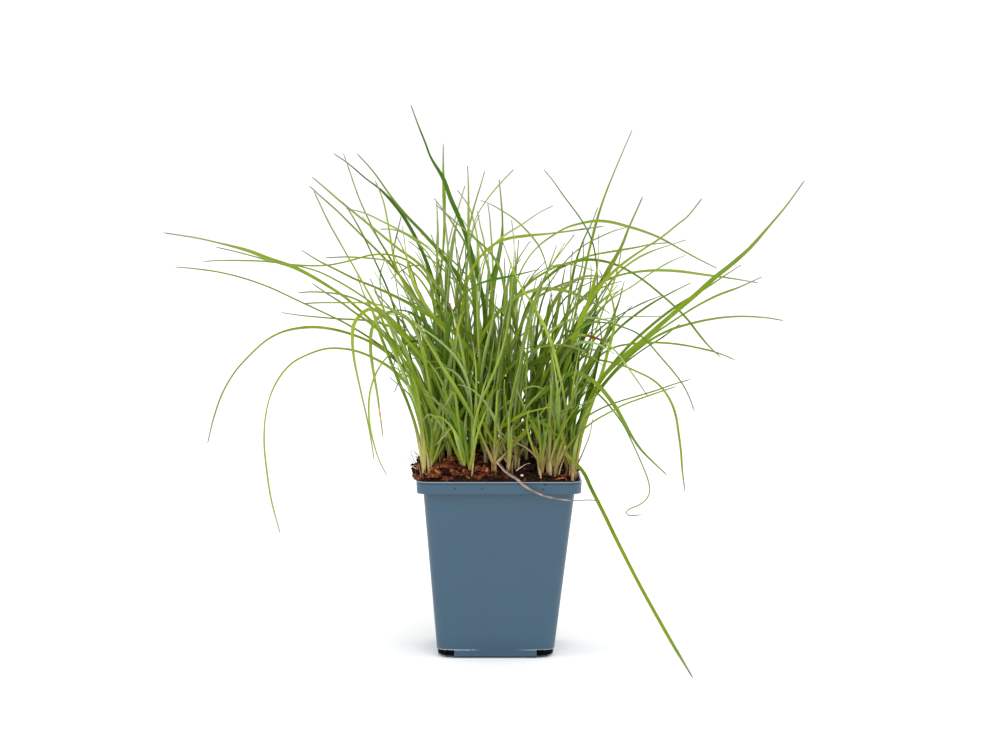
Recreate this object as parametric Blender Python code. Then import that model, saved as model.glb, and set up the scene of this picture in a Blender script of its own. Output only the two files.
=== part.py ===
"""A clump of fine-leaved ornamental grass in a square nursery pot.

The pot stands on its foot at the origin, +Z up. The viewer of the clump stands on the -Y side,
so +X is to the right. Lengths in the tables are millimetres; the objects are built in metres.
"""
import math
import random

import bmesh
import bpy
import numpy as np
from mathutils import Matrix
from mathutils import Vector

MM = 0.001

# Pot, a square tub of thin moulded plastic with a stepped-out rim
POT_HEIGHT = 99.5
RIM_LOW = 92.6
RIM_HALF_LOW = 45.0
RIM_HALF_HIGH = 45.4
BODY_HALF_LOW = 31.7
BODY_HALF_HIGH = 41.2
RIM_CORNER = 8.0
BODY_CORNER = 7.0
WALL = 1.0
FLOOR = 1.2
LEAN = -1.9
FOOT_HALF = 23.0
NOTCH_HEIGHT = 4.8
DRAIN_RADIUS = 3.0
DRAIN_OFFSET = 13.0
FIT_GAP = 0.3

# Root ball, peat filled level with the rim and mounded under the clump
SOIL_EDGE = 98.6
SOIL_RISE = 18.5
SOIL_HALF = 43.4
MOUND_SHIFT = 8.0
MOUND_CELLS = 7

# Shoots
SHEATH_RADIUS = 1.45
SHEATH_SHARE_TOP = 0.62
SOCKET_DEPTH = 4.5
LEAF_START = 5.0
STEM_PROFILE = [(math.cos(k * math.tau / 4), math.sin(k * math.tau / 4)) for k in range(4)]
BLADE_PROFILE = [(-1.0, 0.28), (0.0, -0.34), (1.0, 0.28)]
PATH_TOLERANCE = 1.1
CLEAR_GAP = 0.35
EASE_ROUNDS = 560
INFILL_SEED = 20
BLADES_A_SHOOT = 3
BACK_BLADES = 4
INFILL_TRIES = 14

# The clump is described as seen by an eye straight in front of the pot. A path point is noted as
# (right, up) where it crosses the upright plane through the pot's middle, and "near" moves the
# point from that plane toward the eye along its line of sight.
EYE_DISTANCE = 1440.0
EYE_HEIGHT = 264.0

# Shoots: (right, near, blades). Blades: (near at the tip, width, roll in degrees, path from the tip down)
SHOOTS = (
    (-42.4, 34, (
        (48, 2.0, 50, ((-79, 210), (-76, 201), (-71, 191), (-66, 176), (-61, 163), (-56, 150), (-51, 138), (-46.5, 124))),
        (62, 1.1, 20, ((-61, 153), (-55, 148), (-50, 143), (-46, 132), (-43.5, 120))),
    )),
    (-38.6, 34, (
        (70, 1.9, 60, ((-103, 257), (-97, 244), (-94, 238), (-85, 222), (-76, 206), (-67, 189), (-59, 170), (-51, 150),
                       (-44, 128))),
        (80, 1.3, 30, ((-72, 208.5), (-69, 202), (-62, 185), (-54, 164), (-48, 146), (-41.5, 124))),
    )),
    (-38.5, 12, (
        (30, 2.3, 70, ((-65, 119), (-66.5, 131), (-68.5, 146), (-70.5, 158), (-71.8, 170), (-71, 180), (-68, 186),
                       (-62, 189.5), (-56, 189), (-50, 185), (-46, 178), (-43, 168), (-40.5, 150), (-39, 132))),
        (-25, 1.2, 15, ((-54.5, 243), (-56.5, 235), (-58.5, 226), (-58.5, 216), (-56, 197), (-52, 176), (-46, 150),
                        (-41, 130))),
        (-50, 1.5, 30, ((-76, 243), (-73, 239), (-67, 230), (-60, 218.5), (-55, 209), (-50, 197), (-46, 184), (-43, 168),
                      (-40, 145))),
    )),
    (-35.0, 17, (
        (-5, 2.3, 45, ((-87, 251), (-84, 247), (-76, 233), (-70, 220), (-62, 202), (-57, 187), (-52, 168), (-45, 145),
                       (-38, 125))),
        (60, 1.8, 30, ((-108.5, 194.5), (-100, 195), (-88, 195), (-78, 195), (-68, 194), (-60, 191.5), (-54, 188),
                       (-48, 182), (-44, 174), (-40.5, 160), (-38, 140))),
    )),
    (-31.5, 19, (
        (70, 2.0, 60, ((-123, 65), (-128, 84.5), (-130.5, 102), (-131.7, 116), (-131, 130), (-128, 143), (-123, 153),
                       (-116, 161), (-108, 165.5), (-98, 169), (-90, 169.5), (-80, 168), (-70, 164), (-60, 158),
                       (-51, 149), (-43, 137), (-36, 124))),
        (25, 1.5, 40, ((-181, 215), (-170, 214), (-156, 212), (-142, 208.5), (-128, 203.5), (-112, 196), (-97, 189),
                       (-85, 183), (-72, 175), (-60, 166), (-50, 155), (-42, 141), (-36, 127))),
    )),
    (-27.5, 24, (
        (35, 2.1, 65, ((-163.5, 116), (-160, 130), (-155, 144), (-148, 156), (-140, 165), (-130, 174), (-120, 179),
                       (-106, 181.3), (-95, 180.5), (-83, 177.5), (-70, 172), (-60, 165), (-51, 156), (-42, 143),
                       (-34, 128))),
    )),
    (-24.0, 19.5, (
        (60, 2.7, 75, ((-70, 106), (-73, 125), (-78, 148), (-81, 163), (-82, 175), (-81, 183), (-78, 187.5),
                       (-73, 191.2), (-68, 190.5), (-62, 186), (-54, 179), (-46, 169), (-38, 156), (-31, 140),
                       (-26.5, 124))),
        (85, 2.4, 60, ((-112, 200.5), (-105, 201), (-95, 200.5), (-86, 199), (-78, 196), (-68, 190), (-58, 181),
                       (-48, 170), (-39, 157), (-31, 142), (-25.5, 126))),
    )),
    (-19.6, 37.4, (
        (75, 1.9, 40, ((-104.5, 206), (-96, 200), (-88, 195), (-80, 189), (-74, 185), (-66, 178), (-58, 169), (-50, 158),
                       (-42, 146), (-36, 136), (-29, 123), (-23, 110))),
    )),
    (-16.0, 39, (
        (70, 2.0, 35, ((7, 241), (8.3, 228), (8.2, 217), (7, 202), (5.5, 186), (2.5, 170), (-2, 157), (-7, 146),
                       (-11, 137), (-13.5, 125), (-15, 112))),
    )),
    (-34.5, 4, (
        (-20, 2.1, 55, ((-31, 283.5), (-31, 269), (-30.5, 250), (-30.5, 236), (-31.5, 221), (-34, 204), (-36, 188),
                        (-37, 165), (-36.5, 140))),
        (-35, 1.3, 25, ((-86.5, 278), (-84, 271), (-80, 259), (-77, 251), (-69, 234), (-61, 220), (-52, 204), (-46, 190),
                        (-41, 165), (-37, 140))),
        (20, 2.8, 70, ((-187, 234), (-168, 231), (-155, 228), (-140, 224), (-127, 219), (-115, 215), (-105, 210),
                       (-95, 204), (-86, 198), (-78, 191), (-70, 183.5), (-60, 174), (-50, 163), (-43, 150),
                       (-38, 134))),
    )),
    (-30.0, 9, (
        (-40, 2.0, 45, ((-105.5, 260), (-99, 254), (-90, 246), (-84, 240), (-77, 233), (-66, 222), (-56, 211),
                        (-46, 196), (-39, 178), (-34, 155), (-31, 135))),
        (-10, 1.7, 35, ((-158, 226), (-145, 223), (-134, 220), (-127, 218), (-118, 216.5), (-108, 214.5), (-100, 212),
                        (-90, 207), (-80, 201), (-70, 194), (-58, 184), (-48, 172), (-40, 156), (-34, 138))),
    )),
    (-25.5, 12, (
        (45, 2.4, 60, ((-165, 218), (-157, 218.5), (-143, 218.5), (-130, 218), (-115, 216.2), (-103, 215.6),
                       (-95, 216), (-87, 217.5), (-80, 219.3), (-73, 221.3), (-67, 222), (-60, 221.6), (-52, 219),
                       (-44, 213), (-37, 203), (-31, 188), (-28, 168), (-26.5, 145))),
    )),
    (-21.0, 14, (
        (70, 2.0, 50, ((58, 237.5), (50, 236.5), (40, 235), (28, 233.5), (15, 232.3), (6, 231), (0, 229), (-6, 225),
                       (-12, 218.5), (-17, 209), (-20, 196), (-21.5, 178), (-22, 150))),
        (10, 1.4, 30, ((-97, 220), (-85, 220.5), (-75, 220), (-65, 219), (-56, 217), (-48, 212), (-40, 202), (-33, 186),
                       (-27, 165), (-23, 140))),
        (-10, 1.8, 45, ((-85, 247.5), (-75, 245), (-65, 240.3), (-55, 235.2), (-45, 229.5), (-37, 223), (-31, 215.5),
                      (-27, 206), (-24, 192), (-22, 172), (-21, 148))),
    )),
    (-37.0, -6, (
        (-30, 1.6, 40, ((-122, 189.5), (-112, 188), (-102, 187), (-90, 186), (-80, 185.5), (-70, 184.5), (-60, 181),
                        (-51, 173), (-44, 160), (-39, 140))),
        (-70, 1.4, 25, ((-57, 232), (-54, 226), (-50, 216), (-46, 204), (-43, 191), (-40.5, 174), (-38.5, 150))),
    )),
    (-28.0, -6, (
        (-60, 2.0, 50, ((-92, 278), (-84, 272.5), (-74, 264), (-66, 258), (-56, 247), (-49, 236), (-43, 224), (-38, 211),
                        (-34, 196), (-31, 176), (-29, 150))),
        (-75, 1.3, 25, ((-19, 260), (-22, 250), (-25, 240), (-28, 228), (-29.5, 217), (-30, 200), (-29.5, 170),
                        (-28.5, 145))),
        (-15, 1.3, 30, ((-66, 236), (-61, 236), (-56, 235), (-48, 230.5), (-41, 224), (-36, 216), (-32, 205), (-30, 190),
                      (-29, 165))),
    )),
    (-20.5, -2, (
        (-55, 1.9, 45, ((-79, 278), (-70, 268), (-60, 254), (-52, 244), (-42, 233.5), (-32, 222), (-24, 211.5),
                        (-19, 200), (-17.5, 180), (-19, 150))),
        (-20, 1.9, 35, ((-104, 265), (-97, 259), (-89, 252), (-78, 243), (-67, 234), (-56, 225), (-45, 217), (-36, 207),
                        (-29, 194), (-24, 175), (-21.5, 150))),
    )),
    (-14.0, -6, (
        (-80, 1.5, 30, ((-23, 257.5), (-17, 249), (-14, 240), (-12, 230), (-11.2, 220), (-12, 205), (-13.5, 185),
                        (-14, 155))),
        (-45, 1.4, 25, ((-8, 268), (-10, 261), (-14, 248), (-17, 236), (-20, 226), (-22.5, 216), (-23.5, 200),
                        (-20, 175), (-16, 150))),
        (35, 1.8, 40, ((-36, 253), (-29, 244), (-25, 238), (-21, 232), (-18, 226), (-15.5, 217), (-14, 205), (-13, 185),
                     (-13, 155))),
    )),
    (-15.0, 20, (
        (40, 1.2, 20, ((8, 269), (0, 260.5), (-7, 252), (-12, 244), (-15, 236), (-17, 224), (-18, 205), (-17.5, 180),
                       (-16, 150))),
        (75, 1.2, 30, ((-63, 98), (-67, 106), (-70, 115), (-72.5, 127), (-73, 137), (-72, 146), (-69, 155), (-64, 163),
                       (-58, 168.5), (-51, 171.5), (-44, 172), (-36, 169.5), (-28, 162), (-21, 148), (-17, 131))),
    )),
    (-9.5, 17, (
        (10, 2.4, 65, ((-49, 305), (-45, 294), (-41, 284), (-38, 276), (-31, 264), (-27, 253), (-23, 244), (-19, 234),
                       (-15, 221), (-11, 206), (-8, 190), (-8, 165), (-9, 140))),
        (60, 1.6, 30, ((30, 249), (22, 245), (12, 238), (4, 233), (-2, 228), (-7, 220), (-10, 207), (-11, 185),
                       (-10, 150))),
    )),
    (-7.6, 30, (
        (55, 2.1, 45, ((-110.5, 224.5), (-100, 218), (-90, 213), (-80, 208), (-70, 204), (-60, 199.5), (-50, 194.5),
                       (-40, 188.5), (-30, 182), (-20, 173), (-13, 161), (-9.5, 146), (-8, 128))),
    )),
    (-2.7, 38, (
        (62, 2.2, 55, ((11, 230), (10, 218), (9, 208), (7, 196), (5, 186), (3, 175), (1.8, 164), (0.8, 154), (-0.2, 142),
                       (-1.2, 130), (-2.2, 118), (-2.7, 108))),
    )),
    (-2.0, 24, (
        (30, 1.5, 40, ((-69, 263), (-66, 256), (-64, 250), (-62, 240), (-60, 228), (-58, 217), (-53, 206), (-44, 195),
                       (-34, 184), (-24, 169), (-14, 151), (-7, 135), (-3.5, 120))),
    )),
    (-4.6, 5, (
        (25, 1.7, 40, ((-17.5, 271), (-17, 258), (-17, 236), (-16.5, 220), (-15.3, 207), (-13.8, 193), (-11, 178),
                       (-8, 160), (-6, 140))),
        (-70, 2.5, 50, ((0, 264), (1, 254), (1.9, 242), (1.6, 231), (-0.5, 219), (-3, 205), (-4.5, 190), (-5, 160),
                        (-5, 140))),
    )),
    (5.9, 38, (
        (85, 1.7, 30, ((42, 233), (36, 225), (30, 217), (26, 210), (22, 200), (18, 187), (14.5, 173), (11, 158),
                       (8, 144), (6, 130), (5.6, 114))),
    )),
    (10.0, 33, (
        (90, 1.4, 25, ((32, 227), (30, 221), (27.5, 214), (24, 205), (21, 195), (18, 182), (15, 165), (12.5, 148),
                       (10.8, 128))),
        (68, 2.9, 70, ((94.5, 98), (88, 104), (80, 112), (75, 119), (70, 128), (65, 136.5), (60, 143.5), (55, 149),
                       (50, 152.8), (44, 155.5), (38, 154.5), (31, 150), (24, 144), (17, 138.5), (12.5, 132),
                       (10.8, 122))),
    )),
    (6.0, 20, (
        (55, 2.6, 60, ((104.5, 89), (103, 100), (102, 112), (100.5, 123), (99, 132), (96, 140), (91, 147.5), (85, 152.5),
                       (78, 156), (70, 159.5), (62, 161.8), (54, 163.4), (46, 166), (38, 169), (31, 169), (24, 165.5),
                       (17, 158.5), (11, 149), (7.5, 136))),
        (80, 1.5, 40, ((80, 75.7), (73, 75.4), (71.2, 76.8), (73, 78.8), (78, 80.8), (82, 83.6), (84.4, 87.4),
                       (84.6, 91.5), (83, 97.5), (79.5, 106), (75, 116), (70, 126), (64, 134.5), (58, 141.5),
                       (51, 147.5), (43, 151.5), (34, 152), (25, 148), (16, 141), (10, 130))),
    )),
    (2.0, -12, (
        (15, 1.6, 35, ((95, 228.5), (85, 227.5), (75, 225.5), (63, 223.5), (52, 221.5), (43, 218.5), (33, 215.5),
                       (25, 211.5), (17, 206), (10, 198), (5, 186), (2.5, 165), (2, 145))),
        (-60, 1.3, 25, ((-43.5, 233.5), (-38, 230), (-31, 223), (-24, 216.5), (-17, 209), (-10, 200), (-4, 189),
                        (0, 174), (2, 150))),
        (-5, 1.4, 20, ((-12, 246), (-10.5, 238), (-8.5, 230), (-7.5, 222), (-6, 213), (-4.5, 204), (-3.5, 192), (-2, 175),
                     (0, 150))),
    )),
    (7.0, 5, (
        (-10, 2.1, 60, ((122, 214), (110, 220), (100, 225.5), (90, 231), (80, 235), (70, 238), (62, 240), (54, 240.6),
                        (46, 239.3), (38, 237), (30, 232.5), (22, 226.5), (15, 218), (10, 207), (7, 192), (6, 170),
                        (6.5, 145))),
        (30, 1.9, 50, ((124, 164.6), (118, 170), (112, 177), (105, 186), (98, 193), (90, 200), (80, 208), (72, 213),
                       (65, 216.3), (57, 218.4), (49, 219), (42, 217.8), (34, 214.5), (26, 208), (18, 197), (12, 181),
                       (8.5, 160), (7.5, 140))),
        (50, 1.7, 30, ((-35, 249.5), (-27, 242.5), (-19, 235.5), (-11, 228.8), (-5, 223), (0, 215), (3, 203), (4.5, 185),
                     (5.5, 155))),
    )),
    (15.0, 25, (
        (75, 1.4, 35, ((109.5, 134), (107, 141), (103, 149), (97, 157), (90, 165), (84, 172), (77, 178), (70, 181),
                       (62, 183.3), (54, 184), (46, 182.5), (38, 178), (30, 169), (23, 156), (17.5, 138))),
        (95, 1.5, 35, ((92, 187.3), (80, 187.3), (70, 187), (60, 186), (51, 183.5), (42, 178), (34, 169), (27, 156),
                       (21, 142), (16.5, 126))),
        (60, 1.3, 25, ((24, 209), (22, 203), (19.5, 195), (17.5, 184), (16, 168), (15.2, 148))),
    )),
    (24.2, 39, (
        (43, 1.3, 40, ((-1, 124), (3, 120.5), (10, 116.2), (15, 113.6), (19.5, 109.5), (23, 104.5))),
    )),
    (28.0, 37, (
        (58, 2.9, 70, ((55.5, 233), (55.5, 224), (55, 215), (53.5, 207), (51.5, 199), (48.5, 191), (45, 182.5),
                       (41.5, 173), (38.5, 163), (35.5, 152), (32.8, 140), (30.3, 128), (29, 115))),
    )),
    (25.0, 24, (
        (20, 2.9, 70, ((80, 254), (76, 245), (72, 236), (69, 228), (66, 222), (62, 215), (58, 207.5), (54, 201),
                       (50, 194), (45, 185), (40, 175), (34, 160), (28, 142), (25.5, 126))),
        (60, 1.6, 30, ((83, 143), (79, 149), (74, 156), (69, 163), (64, 169), (58, 173.3), (51, 176), (44, 176.5),
                       (37, 173), (31, 164), (27, 148), (25.3, 132))),
    )),
    (19.5, 10, (
        (20, 2.0, 55, ((145, 206), (130, 208.5), (115, 210.5), (100, 212.5), (88, 213), (78, 212.3), (68, 210.5),
                       (58, 206.5), (48, 199), (38, 187), (29, 170), (22, 148))),
        (-25, 1.3, 25, ((104, 221.5), (94, 217), (84, 211), (74, 204), (65, 198.5), (57, 192), (49, 184), (40, 173),
                        (31, 158), (23.5, 142))),
        (45, 1.6, 30, ((71, 237), (64, 235), (56, 231.5), (50, 228.5), (44, 224.5), (38, 219), (32, 211.5), (27, 203),
                     (23.5, 193), (21, 175), (19.5, 150))),
    )),
    (23.5, -6, (
        (-50, 1.8, 45, ((55, 248), (52, 240), (48.5, 233), (46, 227), (43, 218), (41, 209), (39.5, 198), (37, 184),
                        (32, 165), (26.5, 145))),
        (-35, 1.3, 25, ((-10, 252), (-5, 250), (2, 246), (8, 242), (14, 236.5), (19, 231), (23, 225), (26, 217),
                        (28, 207), (30, 192), (29, 170), (25.5, 148))),
    )),
    (30.0, -8, (
        (-30, 2.5, 60, ((74, 291), (68, 277), (61, 260), (57, 249), (54, 239), (52, 231), (50, 223), (47.5, 211),
                        (45, 200), (42.5, 188), (39, 172), (34, 152))),
        (-60, 1.4, 25, ((91, 199), (82, 195.5), (73, 191), (64, 186), (55, 179), (47, 169), (39, 155), (32, 140))),
    )),
    (31.8, 37, (
        (75, 1.7, 35, ((99, 148), (90, 145), (80, 141.5), (70, 137.8), (62, 133.5), (54, 129), (47, 123.5), (41, 117),
                       (36, 110), (33, 104))),
    )),
    (34.0, 20, (
        (30, 1.9, 50, ((113, 253), (105, 243), (100, 239), (90, 231), (80, 224.5), (70, 217.5), (62, 210.5), (54, 201),
                       (47, 189), (41, 172), (37, 152), (35, 134))),
        (5, 1.4, 30, ((104, 230), (95, 227), (85, 223.5), (76, 219), (67, 212), (58, 201), (50, 187), (43, 168),
                      (38, 148), (35, 130))),
        (40, 2.2, 50, ((41, 224), (40, 211), (39, 198), (38, 184), (36.5, 168), (35, 150), (34, 132))),
    )),
    (38.2, 32, (
        (85, 1.9, 50, ((2, 229), (5, 221), (7.5, 214), (11, 207), (14, 201), (18, 195.5), (22, 188.5), (26, 180.5),
                       (30, 170), (33, 158), (36, 145), (38, 128))),
        (55, 1.5, 35, ((107, 152), (97, 149), (87, 145.5), (77, 142.5), (67, 139.5), (58, 136), (50, 131.5),
                       (44, 125.5), (40, 117))),
        (25, 1.5, 35, ((132, 163), (122, 167), (110, 170), (98, 172), (86, 172.7), (75, 172), (66, 170.5), (58, 166.5),
                       (50, 158), (44, 145), (40, 130))),
    )),
    (37.5, 8, (
        (10, 2.0, 45, ((25, 269), (30, 263), (36, 254.5), (41, 248), (46, 241), (50, 234), (52.3, 228), (54, 220),
                       (54.8, 210), (54.5, 198), (53, 185), (50, 170), (45, 152), (40, 134))),
        (-15, 1.5, 35, ((107, 206), (97, 201), (86, 195), (76, 188), (67, 180.5), (60, 172), (53, 161), (46, 147),
                        (40, 130))),
        (-40, 1.4, 25, ((69, 229), (67.5, 220), (66, 213), (63.5, 205), (60, 196), (56, 185), (51, 170), (45, 152),
                      (40, 134))),
    )),
    (42.0, 38, (
        (60, 3.0, 75, ((170, 263), (160, 249), (150, 237), (140, 225.5), (130, 216.5), (120, 208.5), (110, 199.5),
                       (100, 191), (90, 182.3), (80, 173.5), (70, 165), (60, 155.5), (53, 145), (48.5, 134),
                       (45, 122), (43, 110))),
    )),
    (42.2, 31, (
        (22, 2.4, 60, ((56, 213.5), (58, 209), (60.5, 204), (62.5, 199), (64, 193), (64.8, 186), (63.5, 177), (61, 168),
                       (58.5, 158.5), (55.5, 149.5), (52, 139), (48, 128), (44.5, 116))),
        (60, 1.2, 25, ((52.5, 130), (51, 121), (48, 113), (45, 106))),
        (0, 1.5, 35, ((135, 216), (125, 209.5), (117, 204), (108, 198.5), (100, 193.5), (90, 186), (80, 177.5),
                        (72, 170), (63, 160), (55, 149), (49, 137), (45, 122))),
    )),
    (38.8, 22, (
        (-25, 1.7, 40, ((147, 209.5), (134, 203.5), (122, 199), (112, 194), (103, 188.5), (94, 182.5), (86, 177),
                       (77, 169), (68, 160), (59, 149.5), (50, 137), (43, 124))),
        (10, 1.9, 45, ((159, 185), (150, 186.5), (138, 187.3), (128, 187), (117, 185.5), (106, 183), (97, 180.3),
                       (88, 176), (79, 170), (70, 162), (60, 151), (51, 139), (43.5, 125))),
        (-45, 1.3, 25, ((101, 183), (92, 176), (84, 171), (76, 165.5), (68, 159), (60, 150.5), (52, 140), (44.5, 127))),
    )),
    (-32.0, -20, (
        (-45, 1.7, 35, ((-60.5, 208), (-57, 211), (-52, 214.2), (-48, 215.8), (-44, 215.5), (-40, 212), (-36.5, 203),
                        (-34, 188), (-32.5, 165))),
    )),
    (-19.0, -20, (
        (-35, 1.3, 25, ((-24.5, 232), (-24, 225), (-23, 216), (-21.5, 205), (-20, 190), (-19, 165))),
    )),
    (-6.0, -24, (
        (-40, 1.4, 25, ((-6.2, 250), (-5.2, 243), (-4.6, 235), (-4, 227), (-3.4, 215), (-3, 200), (-4, 175),
                        (-5.5, 150))),
    )),
    (10.0, -22, (
        (-50, 1.3, 25, ((26, 218), (21, 213), (16, 206), (12.5, 197), (10.5, 185), (9.5, 165))),
        (-20, 1.5, 30, ((45, 206.5), (39, 205.5), (33, 203.8), (27, 201.3), (21, 197.5), (16, 191), (12.5, 180),
                        (10.5, 160))),
    )),
    (22.0, -22, (
        (-45, 1.5, 30, ((54, 208), (50, 206), (46, 204), (42, 201.5), (37, 197.5), (32, 190), (27, 177), (23.5, 158))),
    )),
)

# The long blade that kinks over the right front corner of the rim and comes down to the ground
FLOOR_SHOOT = 35
FLOOR_WIDTH = 2.2
FLOOR_PATH = (
    (109.5, -17.2, 92), (105, -9.5, 88), (98, 2.3, 82), (88, 20, 74), (80, 34.5, 68), (72, 50, 61.5), (66, 62, 57),
    (60, 74.5, 52.5), (55, 84.5, 49.5), (51, 92.5, 48), (48.6, 98, 47.2), (46, 101.8, 46.8), (42.5, 105.6, 46.2),
    (38, 110, 44.5), (34.6, 112, 42.3), (32.3, 110, 39.8), (31.9, 105, 38),
)

# The dead straw-coloured leaf lying over the front of the rim
DRY_WIDTH = 1.3
DRY_PATH = (
    (58, 83.4, 43.5), (50.8, 84, 45), (41.3, 83.6, 48), (36.3, 84.1, 48.6), (30, 85.2, 48.6), (24.6, 86.6, 48.4),
    (18.4, 89.6, 48), (13.6, 92.6, 47.4), (10, 95.9, 45.4), (6, 98.4, 42.6), (2.6, 101.2, 39), (1, 104, 36),
    (-0.4, 107.6, 32),
)

# Chips of bark on the peat: (right, toward the viewer, long, wide, thick, turn, lean), degrees for the last two
CHIPS = (
    (-29.0, 35.0, 15.0, 8.5, 2.2, 12, 4),
    (-27.5, 27.8, 8.5, 5.0, 2.6, -28, -8),
    (-42.5, 24.5, 12.0, 7.0, 2.4, 68, 10),
    (-37.0, 25.2, 6.0, 4.6, 2.0, 24, 6),
    (-9.4, 38.2, 8.6, 4.4, 2.2, -8, 6),
    (-13.5, 29.5, 7.5, 5.0, 2.4, 32, -6),
    (16.5, 36.0, 9.0, 4.4, 2.0, 20, -5),
    (32.0, 29.0, 6.0, 4.6, 2.4, -20, 5),
)


def clear_scene():
    for item in list(bpy.data.objects):
        bpy.data.objects.remove(item, do_unlink=True)
    for store in (bpy.data.meshes, bpy.data.curves, bpy.data.materials, bpy.data.collections):
        for item in list(store):
            store.remove(item)


def make_collection(name, hidden=False):
    group = bpy.data.collections.new(name)
    bpy.context.scene.collection.children.link(group)
    group.hide_render = hidden
    return group


def make_material(name, colour, roughness, metallic=0.0):
    material = bpy.data.materials.new(name)
    material.use_nodes = True
    shader = material.node_tree.nodes["Principled BSDF"]
    shader.inputs["Base Color"].default_value = (*colour, 1.0)
    shader.inputs["Roughness"].default_value = roughness
    shader.inputs["Metallic"].default_value = metallic
    material.diffuse_color = (*colour, 1.0)
    return material


def add_mesh_object(name, mesh, group):
    item = bpy.data.objects.new(name, mesh)
    group.objects.link(item)
    return item


def object_from_bmesh(name, bm, group):
    mesh = bpy.data.meshes.new(name)
    bmesh.ops.recalc_face_normals(bm, faces=bm.faces)
    bm.to_mesh(mesh)
    bm.free()
    return add_mesh_object(name, mesh, group)


def baked_mesh(item):
    """The object's mesh with its modifiers worked out, welded where points meet."""
    graph = bpy.context.evaluated_depsgraph_get()
    mesh = bpy.data.meshes.new_from_object(item.evaluated_get(graph))
    mesh.transform(item.matrix_world)
    bm = bmesh.new()
    bm.from_mesh(mesh)
    bmesh.ops.remove_doubles(bm, verts=bm.verts, dist=0.000002)
    bmesh.ops.recalc_face_normals(bm, faces=bm.faces)
    bm.to_mesh(mesh)
    bm.free()
    return mesh


def combine(item, operand, operation):
    """One exact Boolean of item with operand, worked out into item's own mesh."""
    modifier = item.modifiers.new(operation.lower(), "BOOLEAN")
    modifier.operation = operation
    modifier.solver = "EXACT"
    modifier.use_self = operation == "UNION"
    modifier.object = operand
    bpy.context.view_layer.update()
    mesh = baked_mesh(item)
    item.modifiers.clear()
    old = item.data
    item.data = mesh
    bpy.data.meshes.remove(old)


def as_cutter(item):
    item.hide_render = True
    item.display_type = "WIRE"
    return item


def tapered_block(name, group, low, high, bottom, top, corner):
    """A square block with rounded upright edges, half-width low at the bottom and high at the top.

    The tub stands a little askew: everything in it slides sideways by LEAN from the rim down to the foot.
    """
    bm = bmesh.new()
    bmesh.ops.create_cube(bm, size=2.0)
    for vert in bm.verts:
        half = low if vert.co.z < 0.0 else high
        level = bottom if vert.co.z < 0.0 else top
        askew = LEAN * max(1.0 - level / RIM_LOW, 0.0)
        vert.co = Vector((vert.co.x * half + askew, vert.co.y * half, level)) * MM
    upright = [edge for edge in bm.edges if abs(edge.verts[0].co.z - edge.verts[1].co.z) > 0.5 * (top - bottom) * MM]
    bmesh.ops.bevel(bm, geom=upright, offset=corner * MM, offset_type="OFFSET", segments=4, profile=0.5,
                    affect="EDGES", material=-1)
    return object_from_bmesh(name, bm, group)


def box(name, group, low, high):
    bm = bmesh.new()
    bmesh.ops.create_cube(bm, size=1.0)
    for vert in bm.verts:
        vert.co = Vector([(low[k] if vert.co[k] < 0.0 else high[k]) * MM for k in range(3)])
    return object_from_bmesh(name, bm, group)


def build_pot(parts, cutters):
    pot = tapered_block("pot", parts, BODY_HALF_LOW, BODY_HALF_HIGH, 0.0, RIM_LOW + 0.4, BODY_CORNER)
    rim = tapered_block("rim_block", cutters, RIM_HALF_LOW, RIM_HALF_HIGH, RIM_LOW, POT_HEIGHT, RIM_CORNER)
    combine(pot, as_cutter(rim), "UNION")
    mouth = tapered_block("mouth", cutters, RIM_HALF_LOW - WALL, RIM_HALF_HIGH - WALL + 0.1, RIM_LOW + 1.1,
                          POT_HEIGHT + 1.5, RIM_CORNER - WALL)
    combine(pot, as_cutter(mouth), "DIFFERENCE")
    hollow = tapered_block("hollow", cutters, BODY_HALF_LOW - WALL + 0.2, BODY_HALF_HIGH - WALL, FLOOR,
                           RIM_LOW + 1.6, BODY_CORNER - WALL)
    combine(pot, as_cutter(hollow), "DIFFERENCE")
    for along in (-1, 1):
        for across in (-1, 1):
            xs = sorted((along * FOOT_HALF + LEAN, along * 40.0))
            ys = sorted((across * FOOT_HALF, across * 40.0))
            notch = box(f"notch_{along}_{across}", cutters, (xs[0], ys[0], -2.0), (xs[1], ys[1], NOTCH_HEIGHT))
            combine(pot, as_cutter(notch), "DIFFERENCE")
            bm = bmesh.new()
            bmesh.ops.create_cone(bm, cap_ends=True, segments=8, radius1=DRAIN_RADIUS * MM, radius2=DRAIN_RADIUS * MM,
                                  depth=6.0 * MM)
            bmesh.ops.translate(bm, verts=bm.verts, vec=Vector((along, across, 0.0)) * DRAIN_OFFSET * MM)
            drain = object_from_bmesh(f"drain_{along}_{across}", bm, cutters)
            combine(pot, as_cutter(drain), "DIFFERENCE")
    return pot


def soil_height(x, y):
    """Level of the peat at a place in the pot, millimetres."""
    across = min(abs(x) / SOIL_HALF, 1.0)
    reach = SOIL_HALF + MOUND_SHIFT if y < MOUND_SHIFT else SOIL_HALF - MOUND_SHIFT
    along = min(abs(y - MOUND_SHIFT) / reach, 1.0)
    return SOIL_EDGE + SOIL_RISE * (1.0 - across ** 3.0) * (1.0 - along ** 2.2)


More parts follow.
